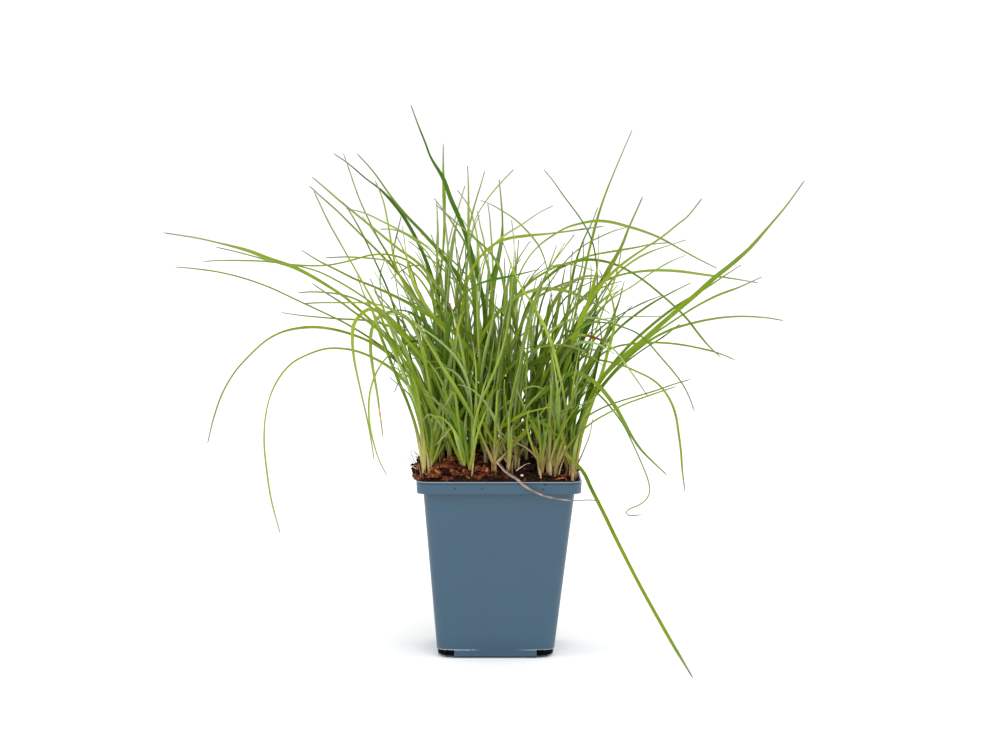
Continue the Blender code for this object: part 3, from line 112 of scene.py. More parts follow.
# Shoots: (right, near, blades). Blades: (near at the tip, width, roll in degrees, path from the tip down)
SHOOTS = (
    (-42.4, 34, (
        (48, 2.0, 50, ((-79, 210), (-76, 201), (-71, 191), (-66, 176), (-61, 163), (-56, 150), (-51, 138), (-46.5, 124))),
        (62, 1.1, 20, ((-61, 153), (-55, 148), (-50, 143), (-46, 132), (-43.5, 120))),
    )),
    (-38.6, 34, (
        (70, 1.9, 60, ((-103, 257), (-97, 244), (-94, 238), (-85, 222), (-76, 206), (-67, 189), (-59, 170), (-51, 150),
                       (-44, 128))),
        (80, 1.3, 30, ((-72, 208.5), (-69, 202), (-62, 185), (-54, 164), (-48, 146), (-41.5, 124))),
    )),
    (-38.5, 12, (
        (30, 2.3, 70, ((-65, 119), (-66.5, 131), (-68.5, 146), (-70.5, 158), (-71.8, 170), (-71, 180), (-68, 186),
                       (-62, 189.5), (-56, 189), (-50, 185), (-46, 178), (-43, 168), (-40.5, 150), (-39, 132))),
        (-25, 1.2, 15, ((-54.5, 243), (-56.5, 235), (-58.5, 226), (-58.5, 216), (-56, 197), (-52, 176), (-46, 150),
                        (-41, 130))),
        (-50, 1.5, 30, ((-76, 243), (-73, 239), (-67, 230), (-60, 218.5), (-55, 209), (-50, 197), (-46, 184), (-43, 168),
                      (-40, 145))),
    )),
    (-35.0, 17, (
        (-5, 2.3, 45, ((-87, 251), (-84, 247), (-76, 233), (-70, 220), (-62, 202), (-57, 187), (-52, 168), (-45, 145),
                       (-38, 125))),
        (60, 1.8, 30, ((-108.5, 194.5), (-100, 195), (-88, 195), (-78, 195), (-68, 194), (-60, 191.5), (-54, 188),
                       (-48, 182), (-44, 174), (-40.5, 160), (-38, 140))),
    )),
    (-31.5, 19, (
        (70, 2.0, 60, ((-123, 65), (-128, 84.5), (-130.5, 102), (-131.7, 116), (-131, 130), (-128, 143), (-123, 153),
                       (-116, 161), (-108, 165.5), (-98, 169), (-90, 169.5), (-80, 168), (-70, 164), (-60, 158),
                       (-51, 149), (-43, 137), (-36, 124))),
        (25, 1.5, 40, ((-181, 215), (-170, 214), (-156, 212), (-142, 208.5), (-128, 203.5), (-112, 196), (-97, 189),
                       (-85, 183), (-72, 175), (-60, 166), (-50, 155), (-42, 141), (-36, 127))),
    )),
    (-27.5, 24, (
        (35, 2.1, 65, ((-163.5, 116), (-160, 130), (-155, 144), (-148, 156), (-140, 165), (-130, 174), (-120, 179),
                       (-106, 181.3), (-95, 180.5), (-83, 177.5), (-70, 172), (-60, 165), (-51, 156), (-42, 143),
                       (-34, 128))),
    )),
    (-24.0, 19.5, (
        (60, 2.7, 75, ((-70, 106), (-73, 125), (-78, 148), (-81, 163), (-82, 175), (-81, 183), (-78, 187.5),
                       (-73, 191.2), (-68, 190.5), (-62, 186), (-54, 179), (-46, 169), (-38, 156), (-31, 140),
                       (-26.5, 124))),
        (85, 2.4, 60, ((-112, 200.5), (-105, 201), (-95, 200.5), (-86, 199), (-78, 196), (-68, 190), (-58, 181),
                       (-48, 170), (-39, 157), (-31, 142), (-25.5, 126))),
    )),
    (-19.6, 37.4, (
        (75, 1.9, 40, ((-104.5, 206), (-96, 200), (-88, 195), (-80, 189), (-74, 185), (-66, 178), (-58, 169), (-50, 158),
                       (-42, 146), (-36, 136), (-29, 123), (-23, 110))),
    )),
    (-16.0, 39, (
        (70, 2.0, 35, ((7, 241), (8.3, 228), (8.2, 217), (7, 202), (5.5, 186), (2.5, 170), (-2, 157), (-7, 146),
                       (-11, 137), (-13.5, 125), (-15, 112))),
    )),
    (-34.5, 4, (
        (-20, 2.1, 55, ((-31, 283.5), (-31, 269), (-30.5, 250), (-30.5, 236), (-31.5, 221), (-34, 204), (-36, 188),
                        (-37, 165), (-36.5, 140))),
        (-35, 1.3, 25, ((-86.5, 278), (-84, 271), (-80, 259), (-77, 251), (-69, 234), (-61, 220), (-52, 204), (-46, 190),
                        (-41, 165), (-37, 140))),
        (20, 2.8, 70, ((-187, 234), (-168, 231), (-155, 228), (-140, 224), (-127, 219), (-115, 215), (-105, 210),
                       (-95, 204), (-86, 198), (-78, 191), (-70, 183.5), (-60, 174), (-50, 163), (-43, 150),
                       (-38, 134))),
    )),
    (-30.0, 9, (
        (-40, 2.0, 45, ((-105.5, 260), (-99, 254), (-90, 246), (-84, 240), (-77, 233), (-66, 222), (-56, 211),
                        (-46, 196), (-39, 178), (-34, 155), (-31, 135))),
        (-10, 1.7, 35, ((-158, 226), (-145, 223), (-134, 220), (-127, 218), (-118, 216.5), (-108, 214.5), (-100, 212),
                        (-90, 207), (-80, 201), (-70, 194), (-58, 184), (-48, 172), (-40, 156), (-34, 138))),
    )),
    (-25.5, 12, (
        (45, 2.4, 60, ((-165, 218), (-157, 218.5), (-143, 218.5), (-130, 218), (-115, 216.2), (-103, 215.6),
                       (-95, 216), (-87, 217.5), (-80, 219.3), (-73, 221.3), (-67, 222), (-60, 221.6), (-52, 219),
                       (-44, 213), (-37, 203), (-31, 188), (-28, 168), (-26.5, 145))),
    )),
    (-21.0, 14, (
        (70, 2.0, 50, ((58, 237.5), (50, 236.5), (40, 235), (28, 233.5), (15, 232.3), (6, 231), (0, 229), (-6, 225),
                       (-12, 218.5), (-17, 209), (-20, 196), (-21.5, 178), (-22, 150))),
        (10, 1.4, 30, ((-97, 220), (-85, 220.5), (-75, 220), (-65, 219), (-56, 217), (-48, 212), (-40, 202), (-33, 186),
                       (-27, 165), (-23, 140))),
        (-10, 1.8, 45, ((-85, 247.5), (-75, 245), (-65, 240.3), (-55, 235.2), (-45, 229.5), (-37, 223), (-31, 215.5),
                      (-27, 206), (-24, 192), (-22, 172), (-21, 148))),
    )),
    (-37.0, -6, (
        (-30, 1.6, 40, ((-122, 189.5), (-112, 188), (-102, 187), (-90, 186), (-80, 185.5), (-70, 184.5), (-60, 181),
                        (-51, 173), (-44, 160), (-39, 140))),
        (-70, 1.4, 25, ((-57, 232), (-54, 226), (-50, 216), (-46, 204), (-43, 191), (-40.5, 174), (-38.5, 150))),
    )),
    (-28.0, -6, (
        (-60, 2.0, 50, ((-92, 278), (-84, 272.5), (-74, 264), (-66, 258), (-56, 247), (-49, 236), (-43, 224), (-38, 211),
                        (-34, 196), (-31, 176), (-29, 150))),
        (-75, 1.3, 25, ((-19, 260), (-22, 250), (-25, 240), (-28, 228), (-29.5, 217), (-30, 200), (-29.5, 170),
                        (-28.5, 145))),
        (-15, 1.3, 30, ((-66, 236), (-61, 236), (-56, 235), (-48, 230.5), (-41, 224), (-36, 216), (-32, 205), (-30, 190),
                      (-29, 165))),
    )),
    (-20.5, -2, (
        (-55, 1.9, 45, ((-79, 278), (-70, 268), (-60, 254), (-52, 244), (-42, 233.5), (-32, 222), (-24, 211.5),
                        (-19, 200), (-17.5, 180), (-19, 150))),
        (-20, 1.9, 35, ((-104, 265), (-97, 259), (-89, 252), (-78, 243), (-67, 234), (-56, 225), (-45, 217), (-36, 207),
                        (-29, 194), (-24, 175), (-21.5, 150))),
    )),
    (-14.0, -6, (
        (-80, 1.5, 30, ((-23, 257.5), (-17, 249), (-14, 240), (-12, 230), (-11.2, 220), (-12, 205), (-13.5, 185),
                        (-14, 155))),
        (-45, 1.4, 25, ((-8, 268), (-10, 261), (-14, 248), (-17, 236), (-20, 226), (-22.5, 216), (-23.5, 200),
                        (-20, 175), (-16, 150))),
        (35, 1.8, 40, ((-36, 253), (-29, 244), (-25, 238), (-21, 232), (-18, 226), (-15.5, 217), (-14, 205), (-13, 185),
                     (-13, 155))),
    )),
    (-15.0, 20, (
        (40, 1.2, 20, ((8, 269), (0, 260.5), (-7, 252), (-12, 244), (-15, 236), (-17, 224), (-18, 205), (-17.5, 180),
                       (-16, 150))),
        (75, 1.2, 30, ((-63, 98), (-67, 106), (-70, 115), (-72.5, 127), (-73, 137), (-72, 146), (-69, 155), (-64, 163),
                       (-58, 168.5), (-51, 171.5), (-44, 172), (-36, 169.5), (-28, 162), (-21, 148), (-17, 131))),
    )),
    (-9.5, 17, (
        (10, 2.4, 65, ((-49, 305), (-45, 294), (-41, 284), (-38, 276), (-31, 264), (-27, 253), (-23, 244), (-19, 234),
                       (-15, 221), (-11, 206), (-8, 190), (-8, 165), (-9, 140))),
        (60, 1.6, 30, ((30, 249), (22, 245), (12, 238), (4, 233), (-2, 228), (-7, 220), (-10, 207), (-11, 185),
                       (-10, 150))),
    )),
    (-7.6, 30, (
        (55, 2.1, 45, ((-110.5, 224.5), (-100, 218), (-90, 213), (-80, 208), (-70, 204), (-60, 199.5), (-50, 194.5),
                       (-40, 188.5), (-30, 182), (-20, 173), (-13, 161), (-9.5, 146), (-8, 128))),
    )),
    (-2.7, 38, (
        (62, 2.2, 55, ((11, 230), (10, 218), (9, 208), (7, 196), (5, 186), (3, 175), (1.8, 164), (0.8, 154), (-0.2, 142),
                       (-1.2, 130), (-2.2, 118), (-2.7, 108))),
    )),
    (-2.0, 24, (
        (30, 1.5, 40, ((-69, 263), (-66, 256), (-64, 250), (-62, 240), (-60, 228), (-58, 217), (-53, 206), (-44, 195),
                       (-34, 184), (-24, 169), (-14, 151), (-7, 135), (-3.5, 120))),
    )),
    (-4.6, 5, (
        (25, 1.7, 40, ((-17.5, 271), (-17, 258), (-17, 236), (-16.5, 220), (-15.3, 207), (-13.8, 193), (-11, 178),
                       (-8, 160), (-6, 140))),
        (-70, 2.5, 50, ((0, 264), (1, 254), (1.9, 242), (1.6, 231), (-0.5, 219), (-3, 205), (-4.5, 190), (-5, 160),
                        (-5, 140))),
    )),
    (5.9, 38, (
        (85, 1.7, 30, ((42, 233), (36, 225), (30, 217), (26, 210), (22, 200), (18, 187), (14.5, 173), (11, 158),
                       (8, 144), (6, 130), (5.6, 114))),
    )),
    (10.0, 33, (
        (90, 1.4, 25, ((32, 227), (30, 221), (27.5, 214), (24, 205), (21, 195), (18, 182), (15, 165), (12.5, 148),
                       (10.8, 128))),
        (68, 2.9, 70, ((94.5, 98), (88, 104), (80, 112), (75, 119), (70, 128), (65, 136.5), (60, 143.5), (55, 149),
                       (50, 152.8), (44, 155.5), (38, 154.5), (31, 150), (24, 144), (17, 138.5), (12.5, 132),
                       (10.8, 122))),
    )),
    (6.0, 20, (
        (55, 2.6, 60, ((104.5, 89), (103, 100), (102, 112), (100.5, 123), (99, 132), (96, 140), (91, 147.5), (85, 152.5),
                       (78, 156), (70, 159.5), (62, 161.8), (54, 163.4), (46, 166), (38, 169), (31, 169), (24, 165.5),
                       (17, 158.5), (11, 149), (7.5, 136))),
        (80, 1.5, 40, ((80, 75.7), (73, 75.4), (71.2, 76.8), (73, 78.8), (78, 80.8), (82, 83.6), (84.4, 87.4),
                       (84.6, 91.5), (83, 97.5), (79.5, 106), (75, 116), (70, 126), (64, 134.5), (58, 141.5),
                       (51, 147.5), (43, 151.5), (34, 152), (25, 148), (16, 141), (10, 130))),
    )),
    (2.0, -12, (
        (15, 1.6, 35, ((95, 228.5), (85, 227.5), (75, 225.5), (63, 223.5), (52, 221.5), (43, 218.5), (33, 215.5),
                       (25, 211.5), (17, 206), (10, 198), (5, 186), (2.5, 165), (2, 145))),
        (-60, 1.3, 25, ((-43.5, 233.5), (-38, 230), (-31, 223), (-24, 216.5), (-17, 209), (-10, 200), (-4, 189),
                        (0, 174), (2, 150))),
        (-5, 1.4, 20, ((-12, 246), (-10.5, 238), (-8.5, 230), (-7.5, 222), (-6, 213), (-4.5, 204), (-3.5, 192), (-2, 175),
                     (0, 150))),
    )),
    (7.0, 5, (
        (-10, 2.1, 60, ((122, 214), (110, 220), (100, 225.5), (90, 231), (80, 235), (70, 238), (62, 240), (54, 240.6),
                        (46, 239.3), (38, 237), (30, 232.5), (22, 226.5), (15, 218), (10, 207), (7, 192), (6, 170),
                        (6.5, 145))),
        (30, 1.9, 50, ((124, 164.6), (118, 170), (112, 177), (105, 186), (98, 193), (90, 200), (80, 208), (72, 213),
                       (65, 216.3), (57, 218.4), (49, 219), (42, 217.8), (34, 214.5), (26, 208), (18, 197), (12, 181),
                       (8.5, 160), (7.5, 140))),
        (50, 1.7, 30, ((-35, 249.5), (-27, 242.5), (-19, 235.5), (-11, 228.8), (-5, 223), (0, 215), (3, 203), (4.5, 185),
                     (5.5, 155))),
    )),
    (15.0, 25, (
        (75, 1.4, 35, ((109.5, 134), (107, 141), (103, 149), (97, 157), (90, 165), (84, 172), (77, 178), (70, 181),
                       (62, 183.3), (54, 184), (46, 182.5), (38, 178), (30, 169), (23, 156), (17.5, 138))),
        (95, 1.5, 35, ((92, 187.3), (80, 187.3), (70, 187), (60, 186), (51, 183.5), (42, 178), (34, 169), (27, 156),
                       (21, 142), (16.5, 126))),
        (60, 1.3, 25, ((24, 209), (22, 203), (19.5, 195), (17.5, 184), (16, 168), (15.2, 148))),
    )),
    (24.2, 39, (
        (43, 1.3, 40, ((-1, 124), (3, 120.5), (10, 116.2), (15, 113.6), (19.5, 109.5), (23, 104.5))),
    )),
    (28.0, 37, (
        (58, 2.9, 70, ((55.5, 233), (55.5, 224), (55, 215), (53.5, 207), (51.5, 199), (48.5, 191), (45, 182.5),
                       (41.5, 173), (38.5, 163), (35.5, 152), (32.8, 140), (30.3, 128), (29, 115))),
    )),
    (25.0, 24, (
        (20, 2.9, 70, ((80, 254), (76, 245), (72, 236), (69, 228), (66, 222), (62, 215), (58, 207.5), (54, 201),
                       (50, 194), (45, 185), (40, 175), (34, 160), (28, 142), (25.5, 126))),
        (60, 1.6, 30, ((83, 143), (79, 149), (74, 156), (69, 163), (64, 169), (58, 173.3), (51, 176), (44, 176.5),
                       (37, 173), (31, 164), (27, 148), (25.3, 132))),
    )),
    (19.5, 10, (
        (20, 2.0, 55, ((145, 206), (130, 208.5), (115, 210.5), (100, 212.5), (88, 213), (78, 212.3), (68, 210.5),
                       (58, 206.5), (48, 199), (38, 187), (29, 170), (22, 148))),
        (-25, 1.3, 25, ((104, 221.5), (94, 217), (84, 211), (74, 204), (65, 198.5), (57, 192), (49, 184), (40, 173),
                        (31, 158), (23.5, 142))),
        (45, 1.6, 30, ((71, 237), (64, 235), (56, 231.5), (50, 228.5), (44, 224.5), (38, 219), (32, 211.5), (27, 203),
                     (23.5, 193), (21, 175), (19.5, 150))),
    )),
    (23.5, -6, (
        (-50, 1.8, 45, ((55, 248), (52, 240), (48.5, 233), (46, 227), (43, 218), (41, 209), (39.5, 198), (37, 184),
                        (32, 165), (26.5, 145))),
        (-35, 1.3, 25, ((-10, 252), (-5, 250), (2, 246), (8, 242), (14, 236.5), (19, 231), (23, 225), (26, 217),
                        (28, 207), (30, 192), (29, 170), (25.5, 148))),
    )),
    (30.0, -8, (
        (-30, 2.5, 60, ((74, 291), (68, 277), (61, 260), (57, 249), (54, 239), (52, 231), (50, 223), (47.5, 211),
                        (45, 200), (42.5, 188), (39, 172), (34, 152))),
        (-60, 1.4, 25, ((91, 199), (82, 195.5), (73, 191), (64, 186), (55, 179), (47, 169), (39, 155), (32, 140))),
    )),
    (31.8, 37, (
        (75, 1.7, 35, ((99, 148), (90, 145), (80, 141.5), (70, 137.8), (62, 133.5), (54, 129), (47, 123.5), (41, 117),
                       (36, 110), (33, 104))),
    )),
    (34.0, 20, (
        (30, 1.9, 50, ((113, 253), (105, 243), (100, 239), (90, 231), (80, 224.5), (70, 217.5), (62, 210.5), (54, 201),
                       (47, 189), (41, 172), (37, 152), (35, 134))),
        (5, 1.4, 30, ((104, 230), (95, 227), (85, 223.5), (76, 219), (67, 212), (58, 201), (50, 187), (43, 168),
                      (38, 148), (35, 130))),
        (40, 2.2, 50, ((41, 224), (40, 211), (39, 198), (38, 184), (36.5, 168), (35, 150), (34, 132))),
    )),
    (38.2, 32, (
        (85, 1.9, 50, ((2, 229), (5, 221), (7.5, 214), (11, 207), (14, 201), (18, 195.5), (22, 188.5), (26, 180.5),
                       (30, 170), (33, 158), (36, 145), (38, 128))),
        (55, 1.5, 35, ((107, 152), (97, 149), (87, 145.5), (77, 142.5), (67, 139.5), (58, 136), (50, 131.5),
                       (44, 125.5), (40, 117))),
        (25, 1.5, 35, ((132, 163), (122, 167), (110, 170), (98, 172), (86, 172.7), (75, 172), (66, 170.5), (58, 166.5),
                       (50, 158), (44, 145), (40, 130))),
    )),
    (37.5, 8, (
        (10, 2.0, 45, ((25, 269), (30, 263), (36, 254.5), (41, 248), (46, 241), (50, 234), (52.3, 228), (54, 220),
                       (54.8, 210), (54.5, 198), (53, 185), (50, 170), (45, 152), (40, 134))),
        (-15, 1.5, 35, ((107, 206), (97, 201), (86, 195), (76, 188), (67, 180.5), (60, 172), (53, 161), (46, 147),
                        (40, 130))),
        (-40, 1.4, 25, ((69, 229), (67.5, 220), (66, 213), (63.5, 205), (60, 196), (56, 185), (51, 170), (45, 152),
                      (40, 134))),
    )),
    (42.0, 38, (
        (60, 3.0, 75, ((170, 263), (160, 249), (150, 237), (140, 225.5), (130, 216.5), (120, 208.5), (110, 199.5),
                       (100, 191), (90, 182.3), (80, 173.5), (70, 165), (60, 155.5), (53, 145), (48.5, 134),
                       (45, 122), (43, 110))),
    )),
    (42.2, 31, (
        (22, 2.4, 60, ((56, 213.5), (58, 209), (60.5, 204), (62.5, 199), (64, 193), (64.8, 186), (63.5, 177), (61, 168),
                       (58.5, 158.5), (55.5, 149.5), (52, 139), (48, 128), (44.5, 116))),
        (60, 1.2, 25, ((52.5, 130), (51, 121), (48, 113), (45, 106))),
        (0, 1.5, 35, ((135, 216), (125, 209.5), (117, 204), (108, 198.5), (100, 193.5), (90, 186), (80, 177.5),
                        (72, 170), (63, 160), (55, 149), (49, 137), (45, 122))),
    )),
    (38.8, 22, (
        (-25, 1.7, 40, ((147, 209.5), (134, 203.5), (122, 199), (112, 194), (103, 188.5), (94, 182.5), (86, 177),
                       (77, 169), (68, 160), (59, 149.5), (50, 137), (43, 124))),
        (10, 1.9, 45, ((159, 185), (150, 186.5), (138, 187.3), (128, 187), (117, 185.5), (106, 183), (97, 180.3),
                       (88, 176), (79, 170), (70, 162), (60, 151), (51, 139), (43.5, 125))),
        (-45, 1.3, 25, ((101, 183), (92, 176), (84, 171), (76, 165.5), (68, 159), (60, 150.5), (52, 140), (44.5, 127))),
    )),
    (-32.0, -20, (
        (-45, 1.7, 35, ((-60.5, 208), (-57, 211), (-52, 214.2), (-48, 215.8), (-44, 215.5), (-40, 212), (-36.5, 203),
                        (-34, 188), (-32.5, 165))),
    )),
    (-19.0, -20, (
        (-35, 1.3, 25, ((-24.5, 232), (-24, 225), (-23, 216), (-21.5, 205), (-20, 190), (-19, 165))),
    )),
    (-6.0, -24, (
        (-40, 1.4, 25, ((-6.2, 250), (-5.2, 243), (-4.6, 235), (-4, 227), (-3.4, 215), (-3, 200), (-4, 175),
                        (-5.5, 150))),
    )),
    (10.0, -22, (
        (-50, 1.3, 25, ((26, 218), (21, 213), (16, 206), (12.5, 197), (10.5, 185), (9.5, 165))),
        (-20, 1.5, 30, ((45, 206.5), (39, 205.5), (33, 203.8), (27, 201.3), (21, 197.5), (16, 191), (12.5, 180),
                        (10.5, 160))),
    )),
    (22.0, -22, (
        (-45, 1.5, 30, ((54, 208), (50, 206), (46, 204), (42, 201.5), (37, 197.5), (32, 190), (27, 177), (23.5, 158))),
    )),
)

# The long blade that kinks over the right front corner of the rim and comes down to the ground
FLOOR_SHOOT = 35
FLOOR_WIDTH = 2.2
FLOOR_PATH = (
    (109.5, -17.2, 92), (105, -9.5, 88), (98, 2.3, 82), (88, 20, 74), (80, 34.5, 68), (72, 50, 61.5), (66, 62, 57),
    (60, 74.5, 52.5), (55, 84.5, 49.5), (51, 92.5, 48), (48.6, 98, 47.2), (46, 101.8, 46.8), (42.5, 105.6, 46.2),
    (38, 110, 44.5), (34.6, 112, 42.3), (32.3, 110, 39.8), (31.9, 105, 38),
)

# The dead straw-coloured leaf lying over the front of the rim
DRY_WIDTH = 1.3
DRY_PATH = (
    (58, 83.4, 43.5), (50.8, 84, 45), (41.3, 83.6, 48), (36.3, 84.1, 48.6), (30, 85.2, 48.6), (24.6, 86.6, 48.4),
    (18.4, 89.6, 48), (13.6, 92.6, 47.4), (10, 95.9, 45.4), (6, 98.4, 42.6), (2.6, 101.2, 39), (1, 104, 36),
    (-0.4, 107.6, 32),
)

# Chips of bark on the peat: (right, toward the viewer, long, wide, thick, turn, lean), degrees for the last two
CHIPS = (
    (-29.0, 35.0, 15.0, 8.5, 2.2, 12, 4),
    (-27.5, 27.8, 8.5, 5.0, 2.6, -28, -8),
    (-42.5, 24.5, 12.0, 7.0, 2.4, 68, 10),
    (-37.0, 25.2, 6.0, 4.6, 2.0, 24, 6),
    (-9.4, 38.2, 8.6, 4.4, 2.2, -8, 6),
    (-13.5, 29.5, 7.5, 5.0, 2.4, 32, -6),
    (16.5, 36.0, 9.0, 4.4, 2.0, 20, -5),
    (32.0, 29.0, 6.0, 4.6, 2.4, -20, 5),
)

# Looks of single blades, by shoot and by order in the shoot: how deep the green is, from 0 to 1, and how far it
# has turned to straw
TONES = {(18, 0): 1.1, (9, 2): 0.5, (4, 0): 0.4, (6, 0): 0.35, (24, 1): 0.7, (25, 0): 0.55, (30, 0): 0.4,
         (31, 0): 0.65, (39, 0): 0.6, (34, 0): 0.65, (2, 0): 0.35, (35, 1): 0.62, (15, 0): 0.75, (14, 0): 1.0,
         (3, 0): 0.9, (19, 0): 0.6, (10, 0): 0.65, (7, 0): 0.65, (9, 1): 0.75, (4, 1): 0.7, (11, 0): 0.6, (32, 0): 0.5,
         (36, 0): 0.35, (27, 0): 0.5, (27, 1): 0.8, (28, 0): 0.8, (41, 1): 0.6, (41, 2): 0.85, (38, 1): 0.85,
         (37, 2): 0.6, (35, 0): 0.4, (38, 0): 0.9, (40, 0): 0.3, (1, 0): 0.35, (12, 1): 0.3, (6, 1): 0.5, (3, 1): 0.25,
         (13, 0): 0.65, (0, 0): 0.45, (5, 0): 0.6, (10, 1): 0.5, (17, 1): 0.4, (25, 1): 0.7, (21, 0): 0.35,
         (15, 1): 0.45, (33, 0): 0.85, (26, 0): 0.55, (28, 1): 0.6, (41, 0): 0.55, (40, 2): 0.7, (12, 0): 0.3, (22, 1): 0.75, (9, 0): 0.6}
STRAWS = {(29, 0): 0.95, (40, 1): 0.5}

# How soon a shoot's blades turn green over the peat. The low ones are blanched far up
GREENING = {0: 0.6, 20: 0.7, 23: 0.75, 30: 0.65, 35: 0.9, 37: 0.8, 7: 1.8, 8: 1.5, 29: 1.2, 40: 0.9}

# Widths that single blades show from the front, millimetres, every 15 mm from the point down
SHOWN_STEP = 15.0
SHOWN = {
    (9, 2): (0.45, 0.7, 0.75, 1.8, 2.2, 2.0, 1.7, 1.4, 1.3, 1.6, 2.0), (4, 1): (0.5, 0.7, 0.7, 0.75, 0.75, 0.8, 0.8, 1.0),
    (11, 0): (0.45, 0.75, 0.8, 0.8, 0.8, 0.85, 0.9, 0.95, 1.1), (12, 1): (0.6, 0.8, 0.8, 0.85, 1.0),
    (10, 1): (0.5, 0.7, 0.75, 0.75, 0.85, 0.95, 1.0, 1.2), (10, 0): (0.5, 0.75, 0.8, 0.95, 1.2, 1.5, 1.8),
    (15, 1): (0.5, 0.9, 1.0, 1.1, 1.2, 1.5), (14, 0): (0.5, 0.65, 0.75, 1.7, 1.9, 1.9, 2.0),
    (15, 0): (0.5, 0.7, 0.85, 1.4, 1.7, 2.0), (9, 1): (0.35, 0.5, 0.55, 0.7, 0.9), (21, 0): (0.45, 0.7, 0.85, 1.0, 1.5),
    (1, 0): (0.5, 0.7, 0.75, 0.8, 0.9, 1.2), (19, 0): (0.45, 0.9, 1.1, 1.2, 1.6, 2.0),
    (3, 0): (0.5, 0.7, 0.8, 0.9, 1.1, 1.4), (7, 0): (0.5, 0.9, 1.1, 1.2, 1.6), (6, 1): (0.6, 0.8, 0.9, 1.1, 1.5),
    (3, 1): (0.7, 0.8, 0.8, 0.9, 1.3), (13, 0): (0.4, 0.65, 0.8, 0.95, 1.2, 1.5),
    (5, 0): (0.5, 0.85, 0.85, 0.85, 0.85, 0.95, 1.45, 1.35, 1.3, 1.6, 1.9, 2.1),
    (4, 0): (0.4, 0.75, 0.85, 0.85, 0.7, 0.6, 0.85, 0.8, 0.95, 1.2, 1.5, 1.9, 2.2),
    (6, 0): (0.4, 0.7, 0.85, 1.0, 1.4, 2.0, 1.8, 1.7), (2, 0): (0.4, 0.95, 1.2, 1.7, 1.8, 1.6, 1.8),
    (17, 1): (0.35, 0.65, 0.9, 0.95, 0.9, 0.7, 0.65, 1.0), (24, 1): (0.5, 1.0, 1.4, 2.0, 2.1, 1.9, 2.0),
    (25, 1): (0.45, 0.6, 0.6, 0.6, 0.6, 0.75, 0.9, 0.9, 1.1), (25, 0): (0.5, 1.1, 1.2, 1.3, 1.0, 0.85, 0.9, 1.2),
    (28, 0): (0.45, 0.6, 0.7, 0.75, 0.75, 0.75, 0.9), (27, 1): (0.5, 1.1, 1.15, 1.05, 1.1, 1.2, 1.5),
    (37, 2): (0.5, 0.85, 0.95, 1.0, 0.95, 0.95, 1.3), (37, 1): (0.5, 0.75, 0.75, 0.75, 0.85, 1.2),
    (35, 0): (0.5, 0.85, 0.85, 0.85, 0.9, 1.3), (41, 1): (0.6, 0.8, 0.95, 1.15, 1.3, 1.15, 1.3),
    (40, 0): (0.5, 0.8, 1.3, 1.6, 1.9, 2.2, 2.4), (39, 0): (0.5, 0.65, 0.95, 1.65, 2.1, 2.3),
    (34, 0): (0.4, 0.5, 0.65, 1.0, 1.5, 1.2, 1.3), (31, 0): (0.6, 0.9, 1.6, 2.9, 3.0, 3.0),
    (27, 0): (0.5, 0.85, 0.95, 1.15, 1.5, 1.5, 0.9, 0.75, 0.7, 0.8), (32, 0): (0.45, 0.8, 1.2, 1.45, 1.3, 0.95, 1.2),
    (47, 0): (0.4, 0.5, 0.8, 1.3, 1.4, 1.1, 0.8), (35, 1): (0.6, 1.5, 1.75, 1.75, 1.75, 1.8, 1.9),
    (36, 0): (0.6, 0.75, 0.9, 1.1, 1.6, 1.9),
    (18, 0): (0.5, 0.8, 1.05, 2.1, 2.3, 2.3, 2.2), (12, 0): (0.5, 0.75, 0.8, 1.6, 1.4, 1.2, 1.3),
    (38, 0): (0.4, 0.5, 0.6, 0.75, 0.8, 0.8, 0.9), (22, 1): (0.5, 0.75, 0.9, 2.2, 2.6, 2.6),
    (9, 0): (0.4, 1.0, 2.0, 1.3, 1.2, 1.3),
}

# Rusty spots, dead streaks, and places past which a blade has withered: shoot, order, (right, up), reach, kind
MARKS = (
    (10, 1, (-127, 218), 4.5, "rust"), (10, 1, (-129, 218), 0.0, "past"), (5, 0, (-56.5, 161), 5.5, "dead"),
    (2, 0, (-66.5, 132), 4.5, "rust"), (2, 0, (-66.5, 130), 0.0, "past"), (12, 2, (-24.5, 194), 6.0, "rust"),
    (12, 1, (-25, 152), 6.0, "rust"), (31, 1, (54, 175), 6.5, "dead"), (41, 2, (92, 176), 2.6, "dead"),
    (12, 0, (47, 236), 1.6, "dead"), (12, 0, (48.5, 236.2), 0.0, "past"), (25, 1, (84.6, 91.5), 0.0, "past"),
    (4, 0, (-46.2, 143.2), 1.6, "dead"), (9, 1, (-84.6, 269.5), 2.0, "dead"), (29, 0, (10, 116), 0.0, "past"), (9, 2, (-155, 228), 0.0, "past"), (35, 1, (101, -3), 0.0, "past"),
)

# Further fine blades stand between the noted ones, inside this outline of the dense mass
EXTRA_SEED = 5
MASS_OUTLINE = ((-44, 108), (-52, 140), (-62, 165), (-72, 190), (-70, 215), (-55, 238), (-38, 250), (-20, 247),
                (-8, 250), (5, 237), (20, 233), (35, 227), (52, 232), (66, 222), (75, 205), (72, 185), (62, 165),
                (52, 140), (45, 108))
RING_STEP = 2.3
ACROSS = 4

# Loose things on the peat. Tones of the eight big chips, from black-brown at 0 to orange-tan at 1
CHIP_TONES = (0.5, 0.62, 0.66, 0.55, 0.7, 0.45, 0.4, 0.5)

